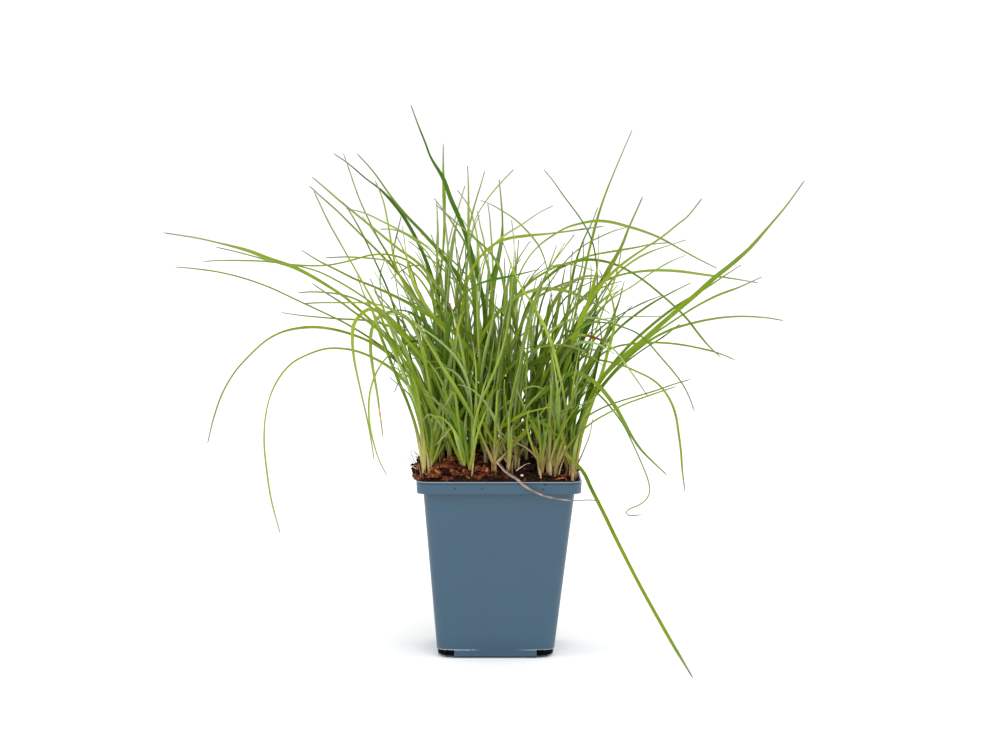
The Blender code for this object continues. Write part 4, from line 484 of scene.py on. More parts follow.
# Slivers: right, near, height over the peat, long, wide, thick, turn, lean, tone
SLIVERS = (
    (-46.5, 16, 2.0, 9, 2.2, 0.9, 60, 14, 0.75), (-45, 20, 3.2, 7, 2.6, 1.0, 95, -12, 0.8),
    (-43.5, 28, 1.6, 8, 2.0, 0.8, 20, 8, 0.7), (-41, 33, 1.2, 6, 2.4, 0.9, -35, 5, 0.6),
    (-37, 39, 1.1, 9, 2.2, 0.8, 5, 2, 0.72), (-31, 40, 1.0, 6.5, 2.6, 0.9, -12, 4, 0.55),
    (-33, 37, 2.2, 5.5, 1.8, 0.7, 40, 12, 0.85), (-21, 39.5, 1.1, 7.5, 2.0, 0.9, 16, 0, 0.65),
    (-24, 33, 2.4, 6, 2.2, 1.0, -50, 16, 0.78), (-17, 36, 1.6, 5, 1.8, 0.8, 70, -6, 0.6),
    (-5, 40, 1.0, 6, 2.2, 0.8, -20, 3, 0.7), (-40, 20, 4.0, 8, 2.4, 0.9, 130, 20, 0.7),
    (23.5, 37, 2.6, 4.5, 2.0, 1.0, 80, 30, 0.75), (25, 36, 5.0, 4.0, 1.6, 0.9, 70, 50, 0.72),
    (36, 38, 1.2, 6, 2.0, 0.8, -30, 6, 0.5), (8, 40, 0.8, 5, 2.0, 0.8, 45, 5, 0.45),
    (-37.5, 8, 7.5, 11, 5.0, 1.4, 20, 74, 0.1), (-34, 14, 3.0, 9, 7.0, 3.2, 15, 22, 0.4),
    (-30, 9, 3.2, 7.5, 6.0, 3.0, -25, 32, 0.32), (-46.4, 22, 1.5, 9, 5.5, 1.6, 80, 38, 0.6),
    (-45.4, 30, 0.6, 8, 5.0, 1.5, 60, 34, 0.66), (-44.0, 36, 0.6, 6.5, 4.0, 1.4, 30, 28, 0.7),
    (-34, 38, 3.2, 8, 4.6, 1.5, 20, 24, 0.7), (-25.5, 38.5, 2.2, 7.5, 5.0, 1.8, -30, 35, 0.75),
    (-38.5, 30, 4.6, 9, 4.0, 1.3, 50, 30, 0.62), (-20, 33, 4.2, 8.5, 5.0, 1.8, 10, -22, 0.7),
    (-40.5, 36, 3.0, 8.5, 1.1, 0.8, 65, 25, 0.8), (-39.0, 37, 4.4, 7.5, 1.0, 0.7, 100, -30, 0.86),
    (-37.0, 38, 2.0, 9.0, 1.2, 0.8, 15, 12, 0.78), (-36.0, 37, 5.0, 7.0, 1.1, 0.8, 140, 20, 0.82),
    (-41.5, 33, 5.4, 7.5, 1.2, 0.8, 40, 38, 0.74), (-38.0, 35, 6.8, 8.0, 1.1, 0.7, 75, -14, 0.84),
    (-34.5, 38, 3.6, 7.0, 3.4, 1.2, -25, 40, 0.92), (-29.5, 39, 3.0, 7.0, 5.5, 2.2, 25, 30, 0.12),
    (-35.5, 34, 3.0, 8.0, 6.0, 2.6, 40, 10, 0.04), (-40.0, 30, 2.2, 7.0, 6.0, 2.4, -20, 12, 0.06),
    (-24.0, 36, 1.6, 8.0, 5.0, 2.4, 15, 8, 0.05), (-14.5, 38, 1.0, 7.0, 4.0, 2.2, -15, 5, 0.08),
    (-46.6, 20, 4.4, 6.5, 1.2, 0.8, 30, 50, 0.88), (-45.2, 24, 5.0, 8.0, 4.2, 1.4, 75, 55, 0.62),
    (18.0, 37, 3.4, 6.0, 4.6, 3.0, 20, 20, 0.08), (22.5, 36, 2.0, 6.5, 5.0, 3.0, -30, 10, 0.12),
    (13.0, 38, 1.6, 5.5, 4.2, 2.6, 50, 10, 0.1), (29.0, 36, 1.2, 5.5, 4.0, 2.2, 10, 0, 0.15),
)

# Crumbs hung up on roots over the rim: right, up, near, size
EDGE_CRUMBS = (
    (-44.6, 100.6, 22, 5.2), (-46.2, 101.6, 19, 4.4), (-43.8, 103.4, 15, 5.0), (-46.8, 103.6, 16, 3.6),
    (-45.0, 99.6, 27, 4.2), (-44.2, 106.2, 9, 4.0), (43.4, 101.6, 28, 4.2), (42.6, 102.6, 22, 4.0),
    (-46.2, 101.5, 22, 2.4), (-47.4, 102.6, 22, 3.2), (-45.0, 105.2, 16, 3.6), (-48.2, 101.6, 24, 2.6),
    (-44.6, 107.6, 12, 2.8), (-47.8, 100.4, 26, 2.2), (-44.8, 103.0, 26, 2.2), (-45.6, 99.8, 30, 1.8),
    (-48.8, 103.8, 21, 2.0), (43.6, 104.6, 26, 2.0), (44.4, 102.4, 28, 1.8), (43.2, 101.0, 30, 2.4),
)

# Crumbs stuck to the front of the pot: right, height, size
STUCK_CRUMBS = ((-23.8, 95.8, 0.9), (-9.2, 95.8, 0.8), (23.8, 95.6, 0.9), (25.4, 98.0, 1.2), (11.9, 92.2, 1.3))

# Perlite grains: across, near, size
PERLITE = ((12.6, 39.5, 2.1), (-33.5, 22.0, 1.7), (3.2, 36.5, 1.2), (30.5, 33.0, 1.4), (-18.0, 26.0, 1.3))

# Rootlets and stems: radius, tone, (right, up, near) along each
ROOTLETS = (
    (0.42, 0.9, ((-6.4, 113, 34), (-4.2, 109, 38), (-0.5, 104.4, 41), (2.2, 101.2, 42.6), (4.4, 99.4, 42.8))),
    (0.35, 0.85, ((9.6, 100.6, 42), (12.2, 102.4, 41.2), (15.0, 104.2, 40.2), (17.6, 104.8, 39))),
    (0.4, 0.3, ((11.4, 108, 40), (12.4, 121, 40.5), (14.6, 131, 41), (16.4, 139.5, 41))),
    (0.28, 0.2, ((-43.0, 100.2, 20), (-46.4, 104.5, 18), (-48.8, 109, 17), (-49.6, 113.5, 16))),
    (0.25, 0.75, ((-42.0, 101.0, 26), (-45.8, 103.4, 25), (-49.4, 103.2, 25), (-51.0, 101.2, 26))),
    (0.22, 0.65, ((-42.5, 104.0, 15), (-46.0, 108.2, 14), (-49.5, 109.0, 13), (-51.4, 107.0, 13))),
    (0.22, 0.15, ((-42.8, 99.8, 30), (-45.6, 101.4, 30.5), (-47.4, 100.4, 31), (-48.2, 98.0, 31))),
    (0.24, 0.7, ((40.5, 101.5, 33), (43.8, 103.6, 32), (45.6, 102.6, 31.6), (46.2, 100.0, 31.5))),
    (0.42, 0.92, ((-50.0, 103.8, 23), (-47.6, 102.4, 25.5), (-44.6, 100.6, 28))),
    (0.24, 0.5, ((-44.0, 104.0, 18), (-46.6, 107.2, 17), (-46.0, 110.0, 16), (-48.6, 112.0, 15), (-50.4, 110.4, 15))),
    (0.22, 0.3, ((-44.5, 103.0, 19), (-48.2, 105.4, 18), (-50.6, 107.6, 17), (-51.8, 106.2, 17))),
    (0.26, 0.08, ((-44.8, 105.0, 15), (-45.4, 109.6, 13), (-47.2, 110.6, 12), (-46.8, 113.6, 11))),
)

# Rim bead, and how finely the pot is ringed
BEAD_LOW = 98.3
CORNER_STEPS = 10
SIDE_STEPS = 16

# Sizes of the patterns in the materials, metres, but the withered point in millimetres along the blade
PATCH_SIZE = 0.011
TIP_LENGTH = 17.0
BARE_LENGTH = 46.0
VEINS = 7
CLOUD_SIZE = 0.022
FLASH_SIZE = 0.0022
SPECK_SIZE = 0.0015
GRAIN_SIZE = 0.0003
CRUMB_SIZE = 0.0016
PLATE_SIZE = 0.0026

# Camera
EYE_PITCH = 4.35
LENS = 92.88
POT_SHIFT_PX = 1.0


def soil_height(x, y):
    """Level of the peat at a place in the pot, millimetres."""
    across = min(abs(x) / SOIL_HALF, 1.0)
    reach = SOIL_HALF + MOUND_SHIFT if y < MOUND_SHIFT else SOIL_HALF - MOUND_SHIFT
    along = min(abs(y - MOUND_SHIFT) / reach, 1.0)
    return SOIL_EDGE + SOIL_RISE * (1.0 - across ** 3.0) * (1.0 - along ** 2.2)


def seen(point, near):
    """Place of a noted (right, up) point moved toward the eye by near."""
    share = (EYE_DISTANCE - near) / EYE_DISTANCE
    return np.array((point[0] * share, -near, EYE_HEIGHT + (point[1] - EYE_HEIGHT) * share))


def noted(place):
    """The reverse of seen: right, up and near of a place."""
    share = (EYE_DISTANCE + place[1]) / EYE_DISTANCE
    return np.array((place[0] / share, EYE_HEIGHT + (place[2] - EYE_HEIGHT) / share, -place[1]))


def smooth_path(points, steps=10):
    """A centripetal Catmull-Rom curve through the points, with steps stretches between two of them."""
    points = np.asarray(points, dtype=float)
    ends = np.vstack((2.0 * points[0] - points[1], points, 2.0 * points[-1] - points[-2]))
    out = []
    for k in range(1, len(ends) - 2):
        p0, p1, p2, p3 = ends[k - 1:k + 3]
        t1 = math.sqrt(np.linalg.norm(p1 - p0)) + 1e-9
        t2 = t1 + math.sqrt(np.linalg.norm(p2 - p1)) + 1e-9
        t3 = t2 + math.sqrt(np.linalg.norm(p3 - p2)) + 1e-9
        for step in range(steps):
            t = t1 + (t2 - t1) * step / steps
            a1 = (t1 - t) / t1 * p0 + t / t1 * p1
            a2 = (t2 - t) / (t2 - t1) * p1 + (t - t1) / (t2 - t1) * p2
            a3 = (t3 - t) / (t3 - t2) * p2 + (t - t2) / (t3 - t2) * p3
            b1 = (t2 - t) / t2 * a1 + t / t2 * a2
            b2 = (t3 - t) / (t3 - t1) * a2 + (t - t1) / (t3 - t1) * a3
            out.append((t2 - t) / (t2 - t1) * b1 + (t - t1) / (t2 - t1) * b2)
    out.append(points[-1])
    return np.array(out)


def thinned(path, tolerance):
    """The fewest of the path's points whose straight stretches keep within tolerance of it."""
    first, last = path[0], path[-1]
    line = last - first
    length = np.linalg.norm(line)
    if len(path) < 3:
        return [first, last]
    away = np.linalg.norm(np.cross(path - first, line / max(length, 1e-9)), axis=1)
    far = int(np.argmax(away))
    if away[far] <= tolerance:
        return [first, last]
    return thinned(path[:far + 1], tolerance)[:-1] + thinned(path[far:], tolerance)


def travelled(path):
    """Length along the path up to each of its points."""
    return np.concatenate(((0.0,), np.cumsum(np.linalg.norm(np.diff(path, axis=0), axis=1))))


def blade_half_width(share):
    """Half-width of a blade of width 1 at a share of its length."""
    grown = 0.32 + 0.18 * min(share / 0.22, 1.0)
    if share > 0.5:
        grown *= 1.0 - 0.86 * ((share - 0.5) / 0.5) ** 1.25
    return grown


def drawn_half_width(blade, share, left):
    """Half of the width that a finely modelled blade shows. It keeps its width nearly to the drawn-out point."""
    shown = SHOWN.get((blade["shoot"], blade["order"]))
    if shown:
        return 0.5 * float(np.interp(left, np.arange(len(shown)) * SHOWN_STEP, shown)) * min(0.35 + left / 4.0, 1.0)
    grown = blade["width"] * (0.26 + 0.18 * min(share / 0.2, 1.0)) * (1.0 - 0.4 * max(share - 0.5, 0.0) / 0.5)
    waved = grown * (0.92 + 0.2 * math.sin(share * blade["waves"] + blade["start"]))
    return max(waved * (0.12 + 0.88 * min(left / 26.0, 1.0) ** 0.8), 0.16 + 0.2 * min(left / 12.0, 1.0))


def shoot_foot(right, near):
    """Where a shoot stands on the peat."""
    x = right * (EYE_DISTANCE - near) / EYE_DISTANCE
    return np.array((x, -near, soil_height(x, -near)))


def make_blade(shoot, foot, noted_path, tip_near, width, roll):
    """A blade whose path starts inside the sheath of its shoot."""
    base = noted(foot + np.array((0.0, 0.0, LEAF_START)))
    flat = smooth_path([base[:2]] + [np.array(point, dtype=float) for point in reversed(noted_path)])
    run = travelled(flat)
    run = run / run[-1]
    nears = base[2] + (tip_near - base[2]) * run ** 1.25
    path = np.column_stack((flat, nears))
    drawn = path
    path = np.array(thinned(path, PATH_TOLERANCE))
    run = travelled(path)
    free = np.clip((run - 8.0) / 26.0, 0.0, 1.0)
    return {"shoot": shoot, "drawn": drawn, "path": path, "width": width, "roll": roll, "free": free, "kinked": False}


def infill_path(foot, reach, height, swing, bow, droop):
    """Noted path and tip near of an unremarkable blade that leans to the front or the back."""
    path = []
    for share in (1.0, 0.8, 0.6, 0.4, 0.2):
        x = foot[0] + swing * share ** (1.0 + bow)
        z = foot[2] + height * (share ** 0.94 - droop * max(share - 0.6, 0.0) / 0.4)
        y = foot[1] - reach * share ** 1.5
        path.append(tuple(noted(np.array((x, y, z)))[:2]))
    return path, reach - foot[1]


def sampled(blade):
    """Places spread evenly along a blade, from just above its sheath to its tip."""
    places = np.array([seen(point[:2], point[2]) for point in blade["path"]])
    run = travelled(places)
    steps = np.linspace(9.0, run[-1], 26)
    return np.column_stack([np.interp(steps, run, places[:, k]) for k in range(3)])


def add_infill(blades):
    """Fills between the noted blades, each new one taking the clearest of a few ways through."""
    chance = random.Random(INFILL_SEED)
    taken = [sampled(blade) for blade in blades]
    feet = [shoot_foot(*shoot[:2]) for shoot in SHOOTS]
    owners = [blade["shoot"] for blade in blades]
    for foot in feet:
        taken.append(foot + np.linspace(0.0, 16.0, 6)[:, None] * np.array((0.0, 0.0, 1.0)))
    owners += list(range(len(SHOOTS)))
    for number, foot in enumerate(feet):
        near = -foot[1]
        listed = len(SHOOTS[number][2])
        at_corner = abs(foot[0]) > 36.0 and near > 26.0
        wanted = listed if at_corner else BACK_BLADES if near < -15.0 else BLADES_A_SHOOT
        for _ in range(wanted - listed):
            best = None
            for _ in range(INFILL_TRIES):
                back = chance.random() < (1.0 if near < 0.0 else 0.0 if near > 26.0 else 0.45)
                reach = chance.uniform(-95.0, -25.0) if back else chance.uniform(8.0, 62.0)
                height = chance.uniform(60.0, 118.0) if back else chance.uniform(42.0, 96.0)
                swing = foot[0] * chance.uniform(0.05, 0.4) + chance.uniform(-13.0, 13.0)
                droop = chance.uniform(0.3, 0.75) if chance.random() < 0.25 else chance.uniform(0.0, 0.16)
                path, tip = infill_path(foot, reach, height, swing, chance.uniform(0.35, 0.75), droop)
                width, roll = chance.uniform(1.5, 2.3), chance.uniform(10.0, 60.0)
                blade = make_blade(number, foot, path, tip, width, roll)
                spots = sampled(blade)
                room = min(np.linalg.norm(spots[:, None, :] - other[None, :, :], axis=2).min()
                           for owner, other in zip(owners, taken) if owner != number)
                if best is None or room > best[0]:
                    best = (room, blade, spots)
            blades.append(best[1])
            taken.append(best[2])
            owners.append(number)


def all_blades():
    """Every blade of the clump: those noted one by one, those that fill between them and the two fallen ones."""
    blades = []
    for number, (right, near, listed) in enumerate(SHOOTS):
        foot = shoot_foot(right, near)
        for tip_near, width, roll, path in listed:
            blades.append(make_blade(number, foot, path, tip_near, width, roll))
    foot = shoot_foot(*SHOOTS[FLOOR_SHOOT][:2])
    fallen = ((FLOOR_SHOOT, FLOOR_PATH, FLOOR_WIDTH), (len(SHOOTS), DRY_PATH, DRY_WIDTH))
    for number, table, width in fallen:
        points = [np.array(point, dtype=float) for point in reversed(table)]
        if number == FLOOR_SHOOT:
            points = [noted(foot + np.array((0.0, 0.0, LEAF_START)))] + points
        drawn = smooth_path(points)
        path = np.array(thinned(drawn, PATH_TOLERANCE * 0.6))
        blades.append({"shoot": number, "drawn": drawn, "path": path, "width": width, "roll": 40.0,
                       "free": np.zeros(len(path)), "kinked": True})
    add_infill(blades)
    return blades


def sheath_axes(blades):
    """Upright root and leaning top of every shoot's sheath."""
    axes = []
    for number, (right, near, _) in enumerate(SHOOTS):
        foot = shoot_foot(right, near)
        own = [blade for blade in blades if blade["shoot"] == number]
        heads = []
        for blade in own:
            places = np.array([seen(point[:2], point[2]) for point in blade["path"]])
            run = travelled(places)
            heads.append([np.interp(17.0, run, places[:, k]) for k in range(3)])
        head = np.mean(heads, axis=0)
        axes.append((foot - np.array((0.0, 0.0, SOCKET_DEPTH)), foot + np.array((0.0, 0.0, 3.0)), head))
    return axes


def closest_shares(p1, q1, p2, q2):
    """Shares along each pair of stretches where the two come closest."""
    d1 = q1 - p1
    d2 = q2 - p2
    r = p1 - p2
    a = np.einsum("ij,ij->i", d1, d1) + 1e-12
    e = np.einsum("ij,ij->i", d2, d2) + 1e-12
    f = np.einsum("ij,ij->i", d2, r)
    c = np.einsum("ij,ij->i", d1, r)
    b = np.einsum("ij,ij->i", d1, d2)
    bottom = a * e - b * b
    s = np.where(bottom > 1e-9, np.clip((b * f - c * e) / np.where(bottom > 1e-9, bottom, 1.0), 0.0, 1.0), 0.5)
    t = (b * s + f) / e
    held = np.clip(t, 0.0, 1.0)
    s = np.where(t != held, np.clip((b * held - c) / a, 0.0, 1.0), s)
    return s, held


def ease_apart(blades, axes):
    """Shifts blades of different shoots toward or away from the eye until they all pass clear."""
    starts, ends, owners, radii_a, radii_b = [], [], [], [], []
    base = 0
    for blade in blades:
        count = len(blade["path"])
        blade["first"] = base
        run = travelled(blade["path"])
        shares = run / run[-1]
        half = [blade["width"] * blade_half_width(share) for share in shares]
        for k in range(count - 1):
            starts.append(base + k)
            ends.append(base + k + 1)
            owners.append(blade["shoot"])
            radii_a.append(half[k])
            radii_b.append(half[k + 1])
        base += count
    flat = np.vstack([blade["path"] for blade in blades])
    free = np.concatenate([blade["free"] for blade in blades])
    extra = []
    for number, axis in enumerate(axes):
        for k in range(2):
            starts.append(base)
            ends.append(base + 1)
            owners.append(number)
            radii_a.append(SHEATH_RADIUS)
            radii_b.append(SHEATH_RADIUS * (1.0 if k == 0 else SHEATH_SHARE_TOP))
            extra += [noted(axis[k]), noted(axis[k + 1])]
            free = np.concatenate((free, (0.0, 0.0)))
            base += 2
    flat = np.vstack((flat, np.array(extra)))
    start = np.array(starts)
    end = np.array(ends)
    owner = np.array(owners)
    ra = np.array(radii_a)
    rb = np.array(radii_b)
    home = flat[:, 2].copy()
    inner = np.zeros(len(flat), dtype=bool)
    for blade in blades:
        inner[blade["first"] + 1:blade["first"] + len(blade["path"]) - 1] = True
    one, two = np.triu_indices(len(start), 1)
    apart = owner[one] != owner[two]
    one, two = one[apart], two[apart]
    left = 0
    for turn in range(EASE_ROUNDS):
        if turn % 12 == 0:
            share = (EYE_DISTANCE - flat[:, 2]) / EYE_DISTANCE
            place = np.column_stack((flat[:, 0] * share, -flat[:, 2], EYE_HEIGHT + (flat[:, 1] - EYE_HEIGHT) * share))
            middle = 0.5 * (place[start] + place[end])
            span = 0.5 * np.linalg.norm(place[end] - place[start], axis=1) + np.maximum(ra, rb)
            close = np.linalg.norm(middle[one] - middle[two], axis=1) < span[one] + span[two] + 6.0
            near_one, near_two = one[close], two[close]
        share = (EYE_DISTANCE - flat[:, 2]) / EYE_DISTANCE
        place = np.column_stack((flat[:, 0] * share, -flat[:, 2], EYE_HEIGHT + (flat[:, 1] - EYE_HEIGHT) * share))
        s, t = closest_shares(place[start[near_one]], place[end[near_one]], place[start[near_two]], place[end[near_two]])
        spot_one = place[start[near_one]] * (1.0 - s)[:, None] + place[end[near_one]] * s[:, None]
        spot_two = place[start[near_two]] * (1.0 - t)[:, None] + place[end[near_two]] * t[:, None]
        gap = spot_one - spot_two
        need = ra[near_one] * (1.0 - s) + rb[near_one] * s + ra[near_two] * (1.0 - t) + rb[near_two] * t + CLEAR_GAP
        short = np.linalg.norm(gap, axis=1) < need
        left = int(short.sum())
        if left == 0:
            break
        shift = np.zeros(len(flat))
        weight = np.zeros(len(flat)) + 1e-9
        for k in np.nonzero(short)[0]:
            across = gap[k][0] ** 2 + gap[k][2] ** 2
            want = math.sqrt(max(need[k] ** 2 - across, 0.0)) + 0.06
            way = -1.0 if gap[k][1] > 0.0 else 1.0
            push = want - abs(gap[k][1])
            ends_one = ((start[near_one[k]], 1.0 - s[k]), (end[near_one[k]], s[k]))
            ends_two = ((start[near_two[k]], 1.0 - t[k]), (end[near_two[k]], t[k]))
            give = sum(free[i] * w * w for i, w in ends_one) + sum(free[i] * w * w for i, w in ends_two)
            if give < 1e-6:
                continue
            for i, w in ends_one:
                shift[i] += way * push * free[i] * w / give
                weight[i] += w
            for i, w in ends_two:
                shift[i] -= way * push * free[i] * w / give
                weight[i] += w
        flat[:, 2] += shift / np.maximum(weight, 1.0)
        if turn < EASE_ROUNDS * 0.7:
            moved = flat[:, 2] - home
            mean = moved.copy()
            index = np.nonzero(inner)[0]
            mean[index] = 0.5 * (moved[index - 1] + moved[index + 1])
            flat[index, 2] += 0.12 * free[index] * (mean[index] - moved[index])
    for blade in blades:
        first = blade["first"]
        blade["path"] = flat[first:first + len(blade["path"])]
    return left


def frames_along(places, roll):
    """Direction, wide axis and face axis at every place, turned as little as the path allows."""
    steps = np.diff(places, axis=0)
    steps = steps / np.linalg.norm(steps, axis=1)[:, None]
    ahead = np.vstack((steps[:1], steps[:-1] + steps[1:], steps[-1:]))
    ahead = ahead / np.linalg.norm(ahead, axis=1)[:, None]
    lean = places[-1] - places[0]
    side = np.array((-lean[1], lean[0], 0.0)) if math.hypot(lean[0], lean[1]) > 1e-6 else np.array((1.0, 0.0, 0.0))
    frames = []
    for way in ahead:
        side = side - way * float(side @ way)
        side = side / np.linalg.norm(side)
        face = np.cross(way, side)
        turn = math.radians(roll)
        wide = side * math.cos(turn) + face * math.sin(turn)
        frames.append((way, wide, np.cross(way, wide)))
    return frames


def srgb(code):
    """Linear red, green and blue of an sRGB hex value."""
    parts = [int(code[k:k + 2], 16) / 255.0 for k in (1, 3, 5)]
    return tuple(part / 12.92 if part <= 0.04045 else ((part + 0.055) / 1.055) ** 2.4 for part in parts)


def tint(code):
    """The same with an alpha of 1, as sockets and ramps take it."""
    return (*srgb(code), 1.0)


def add_node(tree, kind, inputs=None, stops=None, **settings):
    """Adds a node. Inputs maps a socket's name or number to a value or to the socket that feeds it."""
    node = tree.nodes.new(kind)
    for key, value in settings.items():
        setattr(node, key, value)
    if stops:
        elements = node.color_ramp.elements
        elements.remove(elements[-1])
        elements[0].position, elements[0].color = stops[0]
        for position, colour in stops[1:]:
            elements.new(position).color = colour
    for key, value in (inputs or {}).items():
        if isinstance(value, bpy.types.NodeSocket):
            tree.links.new(value, node.inputs[key])
        else:
            node.inputs[key].default_value = value
    return node


def new_material(name, roughness, ior):
    """A node material with only its Principled shader, and that shader's tree."""
    material = bpy.data.materials.new(name)
    material.use_nodes = True
    tree = material.node_tree
    shader = tree.nodes["Principled BSDF"]
    shader.inputs["Roughness"].default_value = roughness
    shader.inputs["IOR"].default_value = ior
    return material, tree, shader


def blade_material(name, young, deep, base, tip, painted_keel_shading, roughness):
    """Living leaf, grown: a waxy skin over green tissue, cream where the sheath kept it from the light.

    To the eye: a soft sheen, lengthwise veins, yellow-green low down, deeper green above and a
    grey-purple withered point, and painted shading down the middle of the blade: shade in the channel of
    the upper face, a highlight along the keel of the underside. Attributes along the blade say where on it a point is.
    """
    material, tree, shader = new_material(name, roughness, 1.42)
    shader.inputs["Specular IOR Level"].default_value = 0.15
    rise = add_node(tree, "ShaderNodeAttribute", attribute_name="rise").outputs["Fac"]
    left = add_node(tree, "ShaderNodeAttribute", attribute_name="left").outputs["Fac"]
    tone = add_node(tree, "ShaderNodeAttribute", attribute_name="tone").outputs["Fac"]
    mark = add_node(tree, "ShaderNodeAttribute", attribute_name="mark").outputs["Fac"]
    dead = add_node(tree, "ShaderNodeAttribute", attribute_name="dead").outputs["Fac"]
    straw = add_node(tree, "ShaderNodeAttribute", attribute_name="straw").outputs["Fac"]
    place = add_node(tree, "ShaderNodeTexCoord").outputs["Object"]
    surface = add_node(tree, "ShaderNodeUVMap", uv_map="UVMap").outputs["UV"]
    across = add_node(tree, "ShaderNodeSeparateXYZ", {0: surface}).outputs["Y"]
    patches = add_node(tree, "ShaderNodeTexNoise", {"Vector": place, "Scale": 1.0 / PATCH_SIZE, "Detail": 3.0})
    patch = add_node(tree, "ShaderNodeMath", {0: patches.outputs["Fac"], 1: 0.5}, operation="SUBTRACT").outputs[0]
    shifted = add_node(tree, "ShaderNodeMath", {0: patch, 1: 0.9, 2: tone}, operation="MULTIPLY_ADD").outputs[0]
    greens = [(0.0, tint("#94ab62")), (0.12, (*young, 1.0)), (1.0, (*deep, 1.0))]
    green = add_node(tree, "ShaderNodeValToRGB", {0: shifted}, stops=greens)
    outer = add_node(tree, "ShaderNodeMapRange", {"Value": left, "From Min": 12.0, "From Max": 85.0, "To Min": 0.4,
                                                  "To Max": 0.0}).outputs[0]
    far = add_node(tree, "ShaderNodeMapRange", {"Value": rise, "From Min": 110.0, "From Max": 230.0}).outputs[0]
    light = add_node(tree, "ShaderNodeMapRange", {"Value": tone, "From Min": 0.4, "From Max": 1.0, "To Min": 1.0,
                                                  "To Max": 0.1}).outputs[0]
    far_light = add_node(tree, "ShaderNodeMath", {0: far, 1: light}, operation="MULTIPLY").outputs[0]
    dull = add_node(tree, "ShaderNodeMath", {0: outer, 1: far_light}, operation="MULTIPLY").outputs[0]
    dulled = add_node(tree, "ShaderNodeMix", {"Factor": dull, 6: green.outputs[0], 7: tint("#858a6c")},
                      data_type="RGBA")
    uneven = add_node(tree, "ShaderNodeMath", {0: patch, 1: 26.0, 2: rise}, operation="MULTIPLY_ADD").outputs[0]
    climb = add_node(tree, "ShaderNodeMapRange", {"Value": uneven, "From Min": 0.0, "From Max": BARE_LENGTH})
    bared = [(0.0, tint("#3a1e14")), (0.09, tint("#7f5437")), (0.2, (*base, 1.0)), (0.36, tint("#a3985a")),
             (0.5, tint("#929036")), (0.75, tint("#788422"))]
    lower = add_node(tree, "ShaderNodeValToRGB", {0: climb.outputs[0]}, stops=bared)
    skin = add_node(tree, "ShaderNodeMix", {"Factor": climb.outputs[0], 6: lower.outputs[0], 7: dulled.outputs[2]},
                    data_type="RGBA")
    wither = [(0.0, (*tip, 1.0)), (0.28, tint("#8b8470")), (1.0, tint("#8c9c5c"))]
    near_tip = add_node(tree, "ShaderNodeMapRange", {"Value": left, "From Min": 0.0, "From Max": TIP_LENGTH})
    withered = add_node(tree, "ShaderNodeValToRGB", {0: near_tip.outputs[0]}, stops=wither)
    pointed = add_node(tree, "ShaderNodeMix", {"Factor": near_tip.outputs[0], 6: withered.outputs[0],
                                               7: skin.outputs[2]}, data_type="RGBA")
    dried = add_node(tree, "ShaderNodeMix", {"Factor": straw, 6: pointed.outputs[2], 7: tint("#b5a276")},
                     data_type="RGBA")
    rust = [(0.0, tint("#b9b23c")), (0.5, tint("#d6a43a")), (0.85, tint("#c07a30")), (1.0, tint("#8a4a26"))]
    rusted = add_node(tree, "ShaderNodeValToRGB", {0: mark}, stops=rust)
    rusty = add_node(tree, "ShaderNodeMapRange", {"Value": mark, "From Min": 0.12, "From Max": 0.5})
    spotted = add_node(tree, "ShaderNodeMix", {"Factor": rusty.outputs[0], 6: dried.outputs[2], 7: rusted.outputs[0]},
                       data_type="RGBA")
    browned = add_node(tree, "ShaderNodeMix", {"Factor": dead, 6: spotted.outputs[2], 7: tint("#683b12")},
                       data_type="RGBA")
    turns = add_node(tree, "ShaderNodeMath", {0: across, 1: math.tau * VEINS}, operation="MULTIPLY").outputs[0]
    veins = add_node(tree, "ShaderNodeMath", {0: turns}, operation="COSINE").outputs[0]
    centre = add_node(tree, "ShaderNodeMath", {0: across, 1: 0.5}, operation="SUBTRACT").outputs[0]
    off_rib = add_node(tree, "ShaderNodeMath", {0: centre}, operation="ABSOLUTE").outputs[0]
    # Painted shade and highlight: the middle of the blade is darkened on the upper face, in the crease of its channel,
    # and lightened on the underside, along its keel
    painted_keel = add_node(tree, "ShaderNodeMapRange", {"Value": off_rib, "From Max": 0.16, "To Min": painted_keel_shading, "To Max": 1.0})
    shade = add_node(tree, "ShaderNodeMath", {0: veins, 1: 0.05, 2: painted_keel.outputs[0]}, operation="MULTIPLY_ADD")
    speckle = add_node(tree, "ShaderNodeMath", {0: patch, 1: 0.5, 2: shade.outputs[0]}, operation="MULTIPLY_ADD")
    colour = add_node(tree, "ShaderNodeVectorMath", {0: browned.outputs[2], "Scale": speckle.outputs[0]},
                      operation="SCALE")
    tree.links.new(colour.outputs[0], shader.inputs["Base Color"])
    bump = add_node(tree, "ShaderNodeBump", {"Height": veins, "Strength": 0.25, "Distance": 0.00006})
    tree.links.new(bump.outputs[0], shader.inputs["Normal"])
    return material


